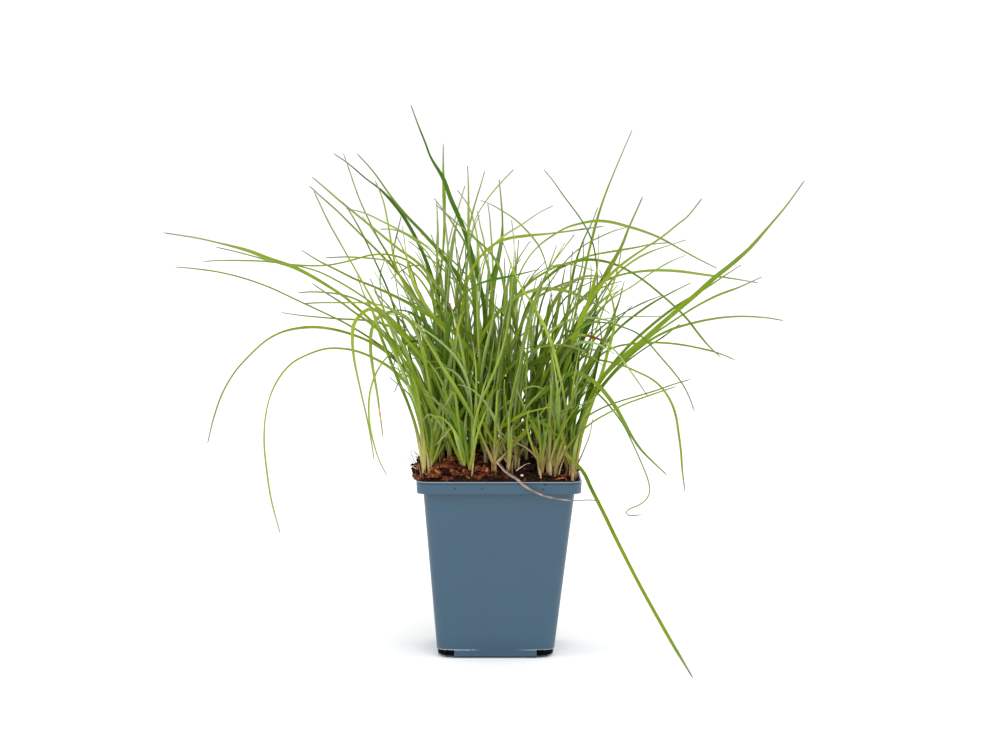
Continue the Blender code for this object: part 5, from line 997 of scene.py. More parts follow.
def plastic_material(colour, pale):
    """Polypropylene, injection moulded with a fine satin grain.

    To the eye: slate blue, a broad soft gloss that lights the rounded corners, faint flow clouds,
    stress-whitened flash along the mould seam above the foot and round the trimmed corner notches, and a
    painted highlight: a pale band along the top edge of the rim, in the same pale colour as the flash.
    """
    material, tree, shader = new_material("Moulded polypropylene", 0.4, 1.49)
    shader.inputs["Specular IOR Level"].default_value = 0.75
    place = add_node(tree, "ShaderNodeTexCoord").outputs["Object"]
    coords = add_node(tree, "ShaderNodeSeparateXYZ", {0: place})
    height = coords.outputs["Z"]
    clouds = add_node(tree, "ShaderNodeTexNoise", {"Vector": place, "Scale": 1.0 / CLOUD_SIZE, "Detail": 2.0})
    flow = [(0.3, (*[part * 0.96 for part in colour], 1.0)), (0.7, (*[part * 1.04 for part in colour], 1.0))]
    clouded = add_node(tree, "ShaderNodeValToRGB", {0: clouds.outputs["Fac"]}, stops=flow)
    off_seam = add_node(tree, "ShaderNodeMath", {0: height, 1: NOTCH_HEIGHT * MM}, operation="SUBTRACT").outputs[0]
    away = add_node(tree, "ShaderNodeMath", {0: off_seam}, operation="ABSOLUTE").outputs[0]
    band = add_node(tree, "ShaderNodeMapRange", {"Value": away, "From Min": 0.00012, "From Max": 0.0005,
                                                 "To Min": 1.0, "To Max": 0.0}).outputs[0]
    dashes = add_node(tree, "ShaderNodeTexNoise", {"Vector": place, "Scale": 1.0 / FLASH_SIZE, "Detail": 1.0})
    broken = add_node(tree, "ShaderNodeMapRange", {"Value": dashes.outputs["Fac"], "From Min": 0.55,
                                                   "From Max": 0.68}).outputs[0]
    sideways = add_node(tree, "ShaderNodeMath", {0: coords.outputs["X"], 1: coords.outputs["Y"]},
                        operation="MULTIPLY").outputs[0]
    corner = add_node(tree, "ShaderNodeMath", {0: sideways}, operation="ABSOLUTE").outputs[0]
    near_notch = add_node(tree, "ShaderNodeMapRange", {"Value": corner, "From Min": 0.00028, "From Max": 0.0009,
                                                       "To Max": 0.9})
    kept = add_node(tree, "ShaderNodeMath", {0: broken, 1: near_notch.outputs[0]}, operation="MAXIMUM").outputs[0]
    outer = add_node(tree, "ShaderNodeMapRange", {"Value": corner, "From Min": 0.00026, "From Max": 0.0004})
    ragged = add_node(tree, "ShaderNodeMath", {0: kept, 1: outer.outputs[0]}, operation="MULTIPLY").outputs[0]
    seam = add_node(tree, "ShaderNodeMath", {0: band, 1: ragged}, operation="MULTIPLY").outputs[0]
    # Painted highlight: a pale band along the top edge of the rim, where its rounded lip catches the light
    lip = add_node(tree, "ShaderNodeMapRange", {"Value": height, "From Min": 0.0989, "From Max": 0.0993,
                                                "To Max": 0.45}).outputs[0]
    # The pale colour covers the real seam flash and the painted rim highlight together
    flash_and_rim_highlight = add_node(tree, "ShaderNodeMath", {0: seam, 1: lip}, operation="MAXIMUM").outputs[0]
    flashed_and_highlit = add_node(tree, "ShaderNodeMix", {"Factor": flash_and_rim_highlight, 6: clouded.outputs[0], 7: (*pale, 1.0)},
                      data_type="RGBA")
    specks = add_node(tree, "ShaderNodeTexNoise", {"Vector": place, "Scale": 1.0 / SPECK_SIZE, "Detail": 0.0})
    dotted = add_node(tree, "ShaderNodeMapRange", {"Value": specks.outputs["Fac"], "From Min": 0.76,
                                                   "From Max": 0.8}).outputs[0]
    high = add_node(tree, "ShaderNodeMapRange", {"Value": height, "From Min": 0.088, "From Max": 0.1}).outputs[0]
    soiled = add_node(tree, "ShaderNodeMath", {0: dotted, 1: high}, operation="MULTIPLY").outputs[0]
    dirty = add_node(tree, "ShaderNodeMix", {"Factor": soiled, 6: flashed_and_highlit.outputs[2], 7: tint("#33373c")},
                     data_type="RGBA")
    tree.links.new(dirty.outputs[2], shader.inputs["Base Color"])
    grain = add_node(tree, "ShaderNodeTexNoise", {"Vector": place, "Scale": 1.0 / GRAIN_SIZE, "Detail": 2.0})
    bump = add_node(tree, "ShaderNodeBump", {"Height": grain.outputs["Fac"], "Strength": 0.12, "Distance": 0.00005})
    tree.links.new(bump.outputs[0], shader.inputs["Normal"])
    return material


def peat_material():
    """Peat compost, milled and moist: near black crumbs with brown fibres, dull, and darkened with painted shade toward
    the pot's floor, where it shows in the corner notches.
    """
    material, tree, shader = new_material("Moist peat", 0.92, 1.4)
    shader.inputs["Specular IOR Level"].default_value = 0.1
    place = add_node(tree, "ShaderNodeTexCoord").outputs["Object"]
    crumbs = add_node(tree, "ShaderNodeTexNoise", {"Vector": place, "Scale": 1.0 / CRUMB_SIZE, "Detail": 4.0,
                                                   "Roughness": 0.65})
    colours = [(0.35, tint("#0d0907")), (0.52, tint("#241812")), (0.66, tint("#442c1e")), (0.78, tint("#6b4930"))]
    ramp = add_node(tree, "ShaderNodeValToRGB", {0: crumbs.outputs["Fac"]}, stops=colours)
    height = add_node(tree, "ShaderNodeSeparateXYZ", {0: place}).outputs["Z"]
    # Painted shade: the peat is darkened toward the pot's floor, down to 12 % at the bottom, where it shows only in the
    # shaded corner notches
    painted_low_shade = add_node(tree, "ShaderNodeMapRange", {"Value": height, "From Min": 0.006, "From Max": 0.03, "To Min": 0.12})
    peat_with_low_shade = add_node(tree, "ShaderNodeVectorMath", {0: ramp.outputs[0], "Scale": painted_low_shade.outputs[0]}, operation="SCALE")
    tree.links.new(peat_with_low_shade.outputs[0], shader.inputs["Base Color"])
    bump = add_node(tree, "ShaderNodeBump", {"Height": crumbs.outputs["Fac"], "Strength": 0.8, "Distance": 0.0006})
    tree.links.new(bump.outputs[0], shader.inputs["Normal"])
    return material


def bark_material():
    """Pine bark, chipped and damp: red-brown cork in thin plates, darker where the plates broke."""
    material, tree, shader = new_material("Chipped pine bark", 0.8, 1.45)
    shader.inputs["Specular IOR Level"].default_value = 0.15
    place = add_node(tree, "ShaderNodeTexCoord").outputs["Object"]
    tone = add_node(tree, "ShaderNodeAttribute", attribute_name="tone").outputs["Fac"]
    plates = add_node(tree, "ShaderNodeTexNoise", {"Vector": place, "Scale": 1.0 / PLATE_SIZE, "Detail": 5.0,
                                                   "Roughness": 0.7, "Distortion": 1.2})
    centred = add_node(tree, "ShaderNodeMath", {0: plates.outputs["Fac"], 1: 0.5}, operation="SUBTRACT").outputs[0]
    mixed = add_node(tree, "ShaderNodeMath", {0: centred, 1: 2.3, 2: tone}, operation="MULTIPLY_ADD").outputs[0]
    colours = [(0.0, tint("#0b0503")), (0.22, tint("#260f08")), (0.5, tint("#532614")), (0.75, tint("#7a3d21")),
               (1.0, tint("#bd885a"))]
    ramp = add_node(tree, "ShaderNodeValToRGB", {0: mixed}, stops=colours)
    tree.links.new(ramp.outputs[0], shader.inputs["Base Color"])
    bump = add_node(tree, "ShaderNodeBump", {"Height": plates.outputs["Fac"], "Strength": 0.7, "Distance": 0.0005})
    tree.links.new(bump.outputs[0], shader.inputs["Normal"])
    return material


def fibre_material():
    """Fine roots and leaf fibres, dried: pale tan to near black, each strand of one tone."""
    material, tree, shader = new_material("Dried root fibre", 0.7, 1.45)
    tone = add_node(tree, "ShaderNodeAttribute", attribute_name="tone").outputs["Fac"]
    colours = [(0.0, tint("#1a1210")), (0.4, tint("#5a3a2a")), (0.75, tint("#b8977c")), (1.0, tint("#dccabb"))]
    ramp = add_node(tree, "ShaderNodeValToRGB", {0: tone}, stops=colours)
    tree.links.new(ramp.outputs[0], shader.inputs["Base Color"])
    return material


def perlite_material():
    """Perlite, expanded volcanic glass: chalk white grains, dull and pitted."""
    material, tree, shader = new_material("Expanded perlite", 0.85, 1.5)
    place = add_node(tree, "ShaderNodeTexCoord").outputs["Object"]
    pits = add_node(tree, "ShaderNodeTexNoise", {"Vector": place, "Scale": 1.0 / 0.0006, "Detail": 2.0})
    ramp = add_node(tree, "ShaderNodeValToRGB", {0: pits.outputs["Fac"]},
                    stops=[(0.3, tint("#cfcac0")), (0.6, tint("#f4f2ec"))])
    tree.links.new(ramp.outputs[0], shader.inputs["Base Color"])
    return material


def floor_material(colour, glow):
    """Opal acrylic sheet, lit softly from below: matt, white and even."""
    material, _, shader = new_material("Backlit opal acrylic", 0.9, 1.45)
    shader.inputs["Base Color"].default_value = (*colour, 1.0)
    shader.inputs["Specular IOR Level"].default_value = 0.0
    shader.inputs["Emission Color"].default_value = (1.0, 1.0, 1.0, 1.0)
    shader.inputs["Emission Strength"].default_value = glow
    return material


def put_piece(name, bm, materials, replaced=(), sharp=None):
    """Makes the bmesh a finished piece that rides on the plant and hides the replaced nodes."""
    mesh = bpy.data.meshes.new(name)
    bm.to_mesh(mesh)
    bm.free()
    for material in materials:
        mesh.materials.append(material)
    mesh.shade_smooth()
    if sharp is not None:
        mesh.set_sharp_from_angle(angle=math.radians(sharp))
    piece = bpy.data.objects.new(name, mesh)
    bpy.context.scene.collection.objects.link(piece)
    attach(piece, BODY)
    if replaced:
        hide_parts(*replaced)
    return piece


def need_nodes(*names):
    missing = [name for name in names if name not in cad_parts]
    if missing:
        raise RuntimeError(f"the frame has no node named {missing}")


def loft(bm, rings):
    """Adds a closed solid through rings of places, all with as many points."""
    made = bmesh.ops.create_circle(bm, cap_ends=True, segments=len(rings[0]), radius=MM)
    tip = list(made["verts"])
    for vert, spot in zip(tip, rings[0]):
        vert.co = spot
    end = [tip[0].link_faces[0]]
    verts = list(tip)
    for ring in rings[1:]:
        before = {vert: slot for slot, vert in enumerate(tip)}
        grown = bmesh.ops.extrude_face_region(bm, geom=end + list(end[0].edges) + list(end[0].verts))
        end = [piece for piece in grown["geom"] if isinstance(piece, bmesh.types.BMFace)]
        tip = [None] * len(ring)
        for vert in end[0].verts:
            partner = next(edge.other_vert(vert) for edge in vert.link_edges if edge.other_vert(vert) in before)
            tip[before[partner]] = vert
        for vert, spot in zip(tip, ring):
            vert.co = spot
        verts += tip
    return verts


def cut_away(piece, cutters):
    """Takes the cutters out of the piece with exact Booleans worked out into its mesh."""
    for cutter in cutters:
        modifier = piece.modifiers.new("cut", "BOOLEAN")
        modifier.operation = "DIFFERENCE"
        modifier.solver = "EXACT"
        modifier.object = cutter
    bpy.context.view_layer.update()
    graph = bpy.context.evaluated_depsgraph_get()
    mesh = bpy.data.meshes.new_from_object(piece.evaluated_get(graph))
    piece.modifiers.clear()
    piece.data = mesh
    for cutter in cutters:
        bpy.data.objects.remove(cutter, do_unlink=True)


def rounded_square(half, corner, askew, level):
    """A ring of places round a square with rounded corners, counted the same way at every size."""
    places = []
    for quarter in range(4):
        turn = quarter * math.pi / 2.0
        for step in range(CORNER_STEPS + 1):
            angle = turn + math.pi / 2.0 * step / CORNER_STEPS
            centre_x = (half - corner) * (1.0 if quarter in (0, 3) else -1.0)
            centre_y = (half - corner) * (1.0 if quarter in (0, 1) else -1.0)
            places.append(Vector((centre_x + corner * math.cos(angle) + askew,
                                  centre_y + corner * math.sin(angle), level)) * MM)
        for step in range(1, SIDE_STEPS):
            share = step / SIDE_STEPS
            along = (half - corner) * (1.0 - 2.0 * share)
            x, y = ((along, half), (-half, along), (-along, -half), (half, -along))[quarter]
            places.append(Vector((x + askew, y, level)) * MM)
    return places


def body_half(level):
    """Half-width of the tub's wall at a height."""
    return BODY_HALF_LOW + (BODY_HALF_HIGH - BODY_HALF_LOW) * level / (RIM_LOW + 0.4)


def pot_rings():
    """Rings from the underside up the outside, over the lip and down the inside to the floor."""
    outside = [(-3.6, 0.0), (-3.4, 0.85), (-0.6, 0.98), (-0.28, 1.3), (-0.22, NOTCH_HEIGHT - 0.35)]
    outside += [(0.0, NOTCH_HEIGHT + 0.1)]
    outside += [(0.0, level) for level in (12.0, 24.0, 36.0, 48.0, 60.0, 72.0, 84.0, RIM_LOW - 1.2)]
    outside += [(0.18, RIM_LOW - 0.5), (0.7, RIM_LOW - 0.1)]
    rings = []
    for off, level in outside:
        rings.append((body_half(level) + off, BODY_CORNER + off, level))
    rim = [(-0.7, RIM_LOW), (-0.2, RIM_LOW + 0.06), (0.06, RIM_LOW + 0.4), (0.0, RIM_LOW + 1.0), (0.1, 95.6),
           (0.2, BEAD_LOW - 0.35), (-0.04, BEAD_LOW - 0.1), (-0.04, BEAD_LOW + 0.1), (0.34, BEAD_LOW + 0.35),
           (0.4, 99.0), (0.2, 99.38), (-0.2, POT_HEIGHT), (-0.55, 99.44), (-0.75, 99.1), (-WALL, 98.1), (-WALL, 94.2)]
    for off, level in rim:
        rings.append((RIM_HALF_LOW + off, RIM_CORNER + off, level))
    inside = [(RIM_LOW + 1.1, -WALL + 0.3), (80.0, -WALL), (40.0, -WALL + 0.05), (FLOOR + 0.4, -WALL + 0.1)]
    for level, off in inside:
        rings.append((body_half(level) + off, BODY_CORNER + off, level))
    rings.append((body_half(FLOOR) - WALL - 0.4, BODY_CORNER - WALL - 0.4, FLOOR))
    return rings


def build_pot(sizes):
    need_nodes("pot")
    bm = bmesh.new()
    rings = []
    for half, corner, level in pot_rings():
        askew = LEAN * max(1.0 - level / RIM_LOW, 0.0)
        rings.append(rounded_square(half, corner, askew, level))
    loft(bm, rings)
    bmesh.ops.recalc_face_normals(bm, faces=bm.faces)
    # The second colour is the seam flash and also the painted highlight along the rim's top edge
    material = plastic_material(tuple(sizes.pot_colour), tuple(sizes.flash_and_highlight_colour))
    pot = put_piece("nursery_pot", bm, [material], ["pot"])
    chance = random.Random(8)
    notches, drains = [], []
    for along in (-1, 1):
        for across in (-1, 1):
            bm = bmesh.new()
            bmesh.ops.create_cube(bm, size=1.0)
            bmesh.ops.subdivide_edges(bm, edges=bm.edges[:], cuts=14, use_grid_fill=True)
            near = (along * FOOT_HALF + LEAN, across * FOOT_HALF)
            for vert in bm.verts:
                x = near[0] + along * (vert.co.x * along + 0.5) * NOTCH_REACH
                y = near[1] + across * (vert.co.y * across + 0.5) * NOTCH_REACH
                z = -2.0 + (vert.co.z + 0.5) * (NOTCH_HEIGHT + 2.0)
                ragged = noise.noise(Vector((x, y, 0.0)) * 0.9) * 0.55 + noise.noise(Vector((x, y, 5.0)) * 2.6) * 0.3
                if vert.co.z > 0.49:
                    z += ragged
                if abs(vert.co.x * along + 0.5) < 0.01:
                    x += along * 0.8 * noise.noise(Vector((z, y, 9.0)) * 0.5)
                vert.co = Vector((x, y, z)) * MM
            notches.append(scratch_object(bm))
            bm = bmesh.new()
            bmesh.ops.create_cone(bm, cap_ends=True, segments=24, radius1=DRAIN_RADIUS * MM,
                                  radius2=DRAIN_RADIUS * MM, depth=6.0 * MM)
            bmesh.ops.translate(bm, verts=bm.verts, vec=Vector((along, across, 0.0)) * DRAIN_OFFSET * MM)
            drains.append(scratch_object(bm))
    cut_away(pot, drains + notches)
    pot.data.set_sharp_from_angle(angle=math.radians(38.0))
    crumbs = bmesh.new()
    tone = crumbs.verts.layers.float.new("tone")
    for right, up, size in STUCK_CRUMBS:
        wall = RIM_HALF_LOW + 0.25 if up > RIM_LOW else body_half(up) + 0.05
        add_lump(crumbs, tone, chance, Vector((right, -wall, up)), size, 0.2, (1.0, 0.45, 0.8))
    put_piece("crumbs_on_pot", crumbs, [peat_material()])


def scratch_object(bm):
    """An object for a Boolean, kept only until it is used."""
    bmesh.ops.recalc_face_normals(bm, faces=bm.faces)
    mesh = bpy.data.meshes.new("cutter")
    bm.to_mesh(mesh)
    bm.free()
    item = bpy.data.objects.new("cutter", mesh)
    bpy.context.scene.collection.objects.link(item)
    return item


def ground(x, y):
    """Level of the dressed peat, a little above the solid one, with its lumps."""
    lumps = noise.noise(Vector((x, y, 0.0)) * 0.16) * 0.9 + noise.noise(Vector((x, y, 3.0)) * 0.5) * 0.5
    edge = min(max((SOIL_HALF - max(abs(x), abs(y))) / 5.0, 0.0), 1.0)
    return soil_height(x, y) + 0.5 + lumps * edge - 0.3 * (1.0 - edge)


def add_lump(bm, layer, chance, centre, size, tone, flat=(1.0, 1.0, 1.0)):
    """One uneven crumb or grain."""
    made = bmesh.ops.create_icosphere(bm, subdivisions=1, radius=0.5 * size * MM)
    turned = Euler([chance.uniform(0.0, math.tau) for _ in range(3)]).to_matrix()
    for vert in made["verts"]:
        spot = turned @ (vert.co * chance.uniform(0.72, 1.25))
        vert.co = Vector([spot[k] * flat[k] for k in range(3)]) + centre * MM
        vert[layer] = tone


def build_peat(sizes):
    need_nodes("root_ball")
    peat = peat_material()
    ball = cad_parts["root_ball"]
    ball.data.materials.clear()
    ball.data.materials.append(peat)
    bm = bmesh.new()
    bmesh.ops.create_grid(bm, x_segments=110, y_segments=110, size=1.0)
    reach = SOIL_HALF + 0.05
    corner = RIM_CORNER - WALL
    inner = reach - corner
    for vert in bm.verts:
        x, y = vert.co.x * reach, vert.co.y * reach
        past = Vector((max(abs(x) - inner, 0.0), max(abs(y) - inner, 0.0)))
        if past.x > 0.0 and past.y > 0.0:
            share = max(past.x, past.y) / past.length
            x = math.copysign(inner + past.x * share, x)
            y = math.copysign(inner + past.y * share, y)
        fine = noise.noise(Vector((x, y, 7.0)) * 1.6) * 0.28
        vert.co = Vector((x, y, ground(x, y) + fine)) * MM
    rise = bmesh.ops.extrude_face_region(bm, geom=bm.faces[:])
    for vert in [piece for piece in rise["geom"] if isinstance(piece, bmesh.types.BMVert)]:
        vert.co.z = (RIM_LOW + 2.6) * MM
    bmesh.ops.recalc_face_normals(bm, faces=bm.faces)
    put_piece("peat_surface", bm, [peat])
    chance = random.Random(14)
    bm = bmesh.new()
    tone = bm.verts.layers.float.new("tone")
    for _ in range(sizes.crumbs):
        x = chance.uniform(-1.0, 1.0) * (SOIL_HALF - 0.8)
        y = chance.uniform(-1.0, 1.0) * (SOIL_HALF - 0.8)
        size = 0.7 + 2.1 * chance.random() ** 2.4
        add_lump(bm, tone, chance, Vector((x, y, ground(x, y) + 0.25 * size)), size, chance.random(), (1.0, 1.0, 0.8))
    for right, up, near, size in EDGE_CRUMBS:
        add_lump(bm, tone, chance, Vector(seen((right, up), near)), size, 0.2)
    put_piece("peat_crumbs", bm, [peat])
    bm = bmesh.new()
    tone = bm.verts.layers.float.new("tone")
    for x, near, size in PERLITE:
        add_lump(bm, tone, chance, Vector((x, -near, ground(x, -near) + 0.4 * size)), size, 1.0)
    put_piece("perlite_grains", bm, [perlite_material()])


def roughen(bm, verts, chance, amount, scale):
    """Weathers a chip: plates and pits pushed in and out along its normals."""
    seed = chance.uniform(0.0, 90.0)
    bm.normal_update()
    moves = []
    for vert in verts:
        spot = vert.co / MM
        rough = noise.fractal(Vector((spot.x, spot.y, spot.z * 2.0 + seed)) * scale, 1.0, 2.0, 3)
        step = math.floor(rough * 3.0) / 3.0
        moves.append((vert, vert.normal * (0.5 * rough + 0.5 * step) * amount * MM))
    for vert, move in moves:
        vert.co += move


def add_flake(bm, layer, chance, centre, sizes, turned, tone):
    """A flake of bark: an uneven slab with a broken outline."""
    made = bmesh.ops.create_circle(bm, cap_ends=True, segments=7, radius=0.5)
    ring = list(made["verts"])
    for vert in ring:
        vert.co *= chance.uniform(0.78, 1.15)
    rise = bmesh.ops.extrude_face_region(bm, geom=[ring[0].link_faces[0]])
    top = [piece for piece in rise["geom"] if isinstance(piece, bmesh.types.BMVert)]
    for vert in top:
        vert.co.x *= 0.85
        vert.co.y *= 0.8
        vert.co.z = 1.0 + chance.uniform(-0.3, 0.3)
    for vert in ring + top:
        spot = Vector((vert.co.x * sizes[0], vert.co.y * sizes[1], (vert.co.z - 0.5) * sizes[2]))
        vert.co = (turned @ spot + centre) * MM
        vert[layer] = tone


def chips_mesh(node, chance, tone_value):
    """A weathered copy of a solid chip, in the solid's own place."""
    bm = bmesh.new()
    bm.from_mesh(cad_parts[node].data)
    bmesh.ops.remove_doubles(bm, verts=bm.verts, dist=0.000002)
    bmesh.ops.subdivide_edges(bm, edges=bm.edges[:], cuts=4, use_grid_fill=True)
    bmesh.ops.triangulate(bm, faces=[face for face in bm.faces if len(face.verts) > 4])
    bmesh.ops.smooth_vert(bm, verts=bm.verts, factor=0.4, use_axis_x=True, use_axis_y=True, use_axis_z=True)
    roughen(bm, bm.verts[:], chance, 0.55, 0.55)
    tone = bm.verts.layers.float.new("tone")
    for vert in bm.verts:
        vert[tone] = tone_value
    return bm


def build_bark(sizes):
    material = bark_material()
    chance = random.Random(23)
    for number, tone_value in enumerate(CHIP_TONES):
        node = f"bark_chip_{number + 1}"
        need_nodes(node)
        bm = chips_mesh(node, chance, tone_value)
        bmesh.ops.recalc_face_normals(bm, faces=bm.faces)
        put_piece(f"bark_flake_{number + 1}", bm, [material], [node], sharp=42.0)
    bm = bmesh.new()
    tone = bm.verts.layers.float.new("tone")
    for right, near, up, long, wide, thick, turn, lean, tone_value in SLIVERS:
        turned = Euler((math.radians(lean * 0.4), math.radians(lean), math.radians(turn))).to_matrix()
        x = right * (EYE_DISTANCE - near) / EYE_DISTANCE
        centre = Vector((x, -near, ground(x, -near) + up))
        add_flake(bm, tone, chance, centre, (long, wide, thick), turned, tone_value)
    for _ in range(sizes.slivers):
        left_side = chance.random() < 0.55
        x = chance.uniform(-SOIL_HALF, 4.0) if left_side else chance.uniform(-SOIL_HALF, SOIL_HALF)
        y = chance.uniform(-SOIL_HALF, -6.0) if left_side else chance.uniform(-SOIL_HALF, SOIL_HALF)
        x, y = x * 0.97, y * 0.97
        long = 1.8 + 7.5 * chance.random() ** 2.0
        tilt = 0.9 if chance.random() < 0.35 else 0.35
        turned = Euler((chance.uniform(-tilt, tilt), chance.uniform(-tilt, tilt), chance.uniform(0.0, math.tau)))
        thick = chance.uniform(0.6, 1.6)
        heap = 3.2 * math.exp(-((x + 27.0) / 15.0) ** 2 - ((y + 33.0) / 9.0) ** 2) * chance.random()
        centre = Vector((x, y, ground(x, y) + 0.3 + 0.4 * thick + heap))
        add_flake(bm, tone, chance, centre, (long, long * chance.uniform(0.25, 0.75), thick), turned.to_matrix(),
                  chance.uniform(0.15, 0.85))
    bmesh.ops.subdivide_edges(bm, edges=bm.edges[:], cuts=1, use_grid_fill=True)
    bmesh.ops.triangulate(bm, faces=[face for face in bm.faces if len(face.verts) > 4])
    bmesh.ops.recalc_face_normals(bm, faces=bm.faces)
    roughen(bm, bm.verts[:], chance, 0.3, 0.9)
    put_piece("bark_slivers", bm, [material], sharp=40.0)


def add_thread(bm, layer, places, radius, tone, sides=5):
    """A tapering thread through the places."""
    places = np.asarray(places, dtype=float)
    rings = []
    count = len(places)
    for slot, (spot, (_, wide, face)) in enumerate(zip(places, frames_along(places, 0.0))):
        share = slot / (count - 1)
        size = radius * (1.0 - 0.7 * share)
        ring = []
        for k in range(sides):
            angle = k * math.tau / sides
            ring.append(Vector((spot + size * (wide * math.cos(angle) + face * math.sin(angle))) * MM))
        rings.append(ring)
    for vert in loft(bm, rings):
        vert[layer] = tone


def build_fibres(sizes):
    bm = bmesh.new()
    tone = bm.verts.layers.float.new("tone")
    for radius, tone_value, path in ROOTLETS:
        drawn = smooth_path([np.array(point, dtype=float) for point in path], 5)
        add_thread(bm, tone, [seen(point[:2], point[2]) for point in drawn], radius, tone_value)
    chance = random.Random(3)
    for _ in range(sizes.fibres):
        at_left = chance.random() < 0.4
        x = chance.uniform(-44.0, -38.0) if at_left else chance.uniform(-40.0, 40.0)
        y = chance.uniform(-34.0, 6.0) if at_left else chance.uniform(-40.0, 38.0)
        turn = chance.uniform(-0.7, 0.7) + (math.pi if at_left else chance.uniform(0.0, math.tau))
        spot = np.array((x, y, ground(x, y) - 0.3))
        climb = chance.uniform(0.3, 1.1) if at_left else chance.uniform(0.05, 0.5)
        places = [spot]
        for _ in range(7):
            turn += chance.uniform(-0.6, 0.6)
            climb -= chance.uniform(0.0, 0.4)
            step = 0.75 if at_left else 1.2
            spot = spot + np.array((math.cos(turn), math.sin(turn), climb)) * step
            level = ground(spot[0], spot[1]) if max(abs(spot[0]), abs(spot[1])) < SOIL_HALF else POT_HEIGHT
            spot[2] = max(spot[2], level + 0.1)
            places.append(spot)
        shade = chance.uniform(0.0, 0.45) if chance.random() < 0.7 else chance.uniform(0.6, 0.95)
        add_thread(bm, tone, places, chance.uniform(0.09, 0.17), shade, 4)
    bmesh.ops.recalc_face_normals(bm, faces=bm.faces)
    put_piece("root_fibres", bm, [fibre_material()])


LEAF_LAYERS = ("rise", "left", "tone", "mark", "dead", "straw")


def leaf_bmesh():
    """An empty bmesh with the layers that a blade's material reads, and those layers by name."""
    bm = bmesh.new()
    bm.loops.layers.uv.new("UVMap")
    return bm, {name: bm.verts.layers.float.new(name) for name in LEAF_LAYERS}


def add_strip(bm, layers, places, half, fold, roll, values, least=1.0, facing=False):
    """A leaf strip along the places. half, fold and roll are functions of the share of its length.

    Where the strip turns its edge to the front it grows wider, to show half on each side, but by no more
    than 1 / least. With facing, roll counts from where the strip lies flat to the front.
    """
    run = travelled(places)
    rows = max(int(run[-1] / RING_STEP), 7)
    steps = np.linspace(0.0, run[-1], rows + 1)
    spots = np.column_stack([np.interp(steps, run, places[:, k]) for k in range(3)])
    sections = []
    for step, (way, wide, face) in zip(steps, frames_along(spots, 0.0)):
        share = step / run[-1]
        turn = math.radians(roll(share, step))
        across = np.array((way[2], 0.0, -way[0])) / max(math.hypot(way[0], way[2]), 0.2)
        if facing:
            flat = math.atan2(float(across @ face), float(across @ wide))
            if not sections:
                last = flat + (math.pi if (face * math.cos(flat) - wide * math.sin(flat))[1] > 0.0 else 0.0)
            last = flat + math.pi * round((last - flat) / math.pi)
            turn += last
        side = wide * math.cos(turn) + face * math.sin(turn)
        front = face * math.cos(turn) - wide * math.sin(turn)
        bend = math.radians(fold(share, step))
        shown = max(abs(float(side @ across)) * math.cos(bend), least)
        sections.append((side, front, half(share, step) / min(shown, 1.0), bend))
    made = bmesh.ops.create_grid(bm, x_segments=rows, y_segments=ACROSS, size=0.5, calc_uvs=True)
    for vert in made["verts"]:
        row = round((vert.co.x + 0.5) * rows)
        across = 2.0 * vert.co.y
        side, front, reach, bend = sections[row]
        spot = spots[row] + side * (across * reach * math.cos(bend))
        spot = spot + front * ((abs(across) - 0.45) * reach * math.sin(bend))
        vert.co = Vector(spot * MM)
        vert[layers["rise"]] = steps[row]
        vert[layers["left"]] = run[-1] - steps[row]
        for name, value in values.items():
            vert[layers[name]] = value(steps[row], across) if callable(value) else value


def fine_places(blade):
    """Places along a blade, drawn as noted, with the depth that the solid blade was given."""
    drawn = blade["drawn"]
    run = travelled(drawn[:, :2])
    solid = blade["path"]
    solid_run = travelled(solid[:, :2])
    nears = np.interp(run / run[-1], solid_run / solid_run[-1], solid[:, 2])
    if not blade["kinked"]:
        reach = 7
        padded = np.concatenate((np.full(reach, nears[0]), nears, np.full(reach, nears[-1])))
        nears = np.convolve(padded, np.ones(2 * reach + 1) / (2 * reach + 1), "valid")
    return np.array([seen(point, near) for point, near in zip(drawn[:, :2], nears)])


def blade_roll(blade, chance):
    """How the blade turns about its own line: its noted roll, eased in and with a slow twist."""
    twist = chance.choice((-1.0, 1.0)) * chance.uniform(14.0, 38.0)
    turns = chance.uniform(0.8, 1.4) * math.tau
    if (blade["shoot"], blade["order"]) in SHOWN:
        middle = chance.choice((-1.0, 1.0)) * chance.uniform(12.0, 38.0)
        return lambda share, step: middle + 0.5 * twist * math.sin(share * turns)
    middle = 12.0 + blade["roll"] * 0.75
    return lambda share, step: middle * min(0.35 + 1.6 * share, 1.0) + twist * math.sin(share * turns)


def marks_of(blade, run):
    """The rusty and dead stretches noted on this blade, as lengths along it. run goes with its drawn path."""
    out = []
    for shoot, order, point, reach, kind in MARKS:
        if (shoot, order) == (blade["shoot"], blade["order"]):
            slot = int(np.argmin(np.linalg.norm(blade["drawn"][:, :2] - np.array(point), axis=1)))
            out.append((run[slot], reach, kind))
    return out


def peak(marks, kind):
    """A value that is 1 at each mark of the kind and falls to 0 at its reach."""
    own = [(spot, reach) for spot, reach, sort in marks if sort == kind]
    return lambda step, across: max([max(1.0 - abs(step - spot) / reach, 0.0) for spot, reach in own] or [0.0])


def brown_foot(number):
    """How brown a shoot's foot is: the far ones are old and dark, a few of the near ones too."""
    if number >= len(SHOOTS):
        return 0.0
    right, near, _ = SHOOTS[number]
    if near < 22.0:
        return 0.75
    return (0.75 if right > 12.0 else 0.4) * math.sin(number * 1.9) ** 2


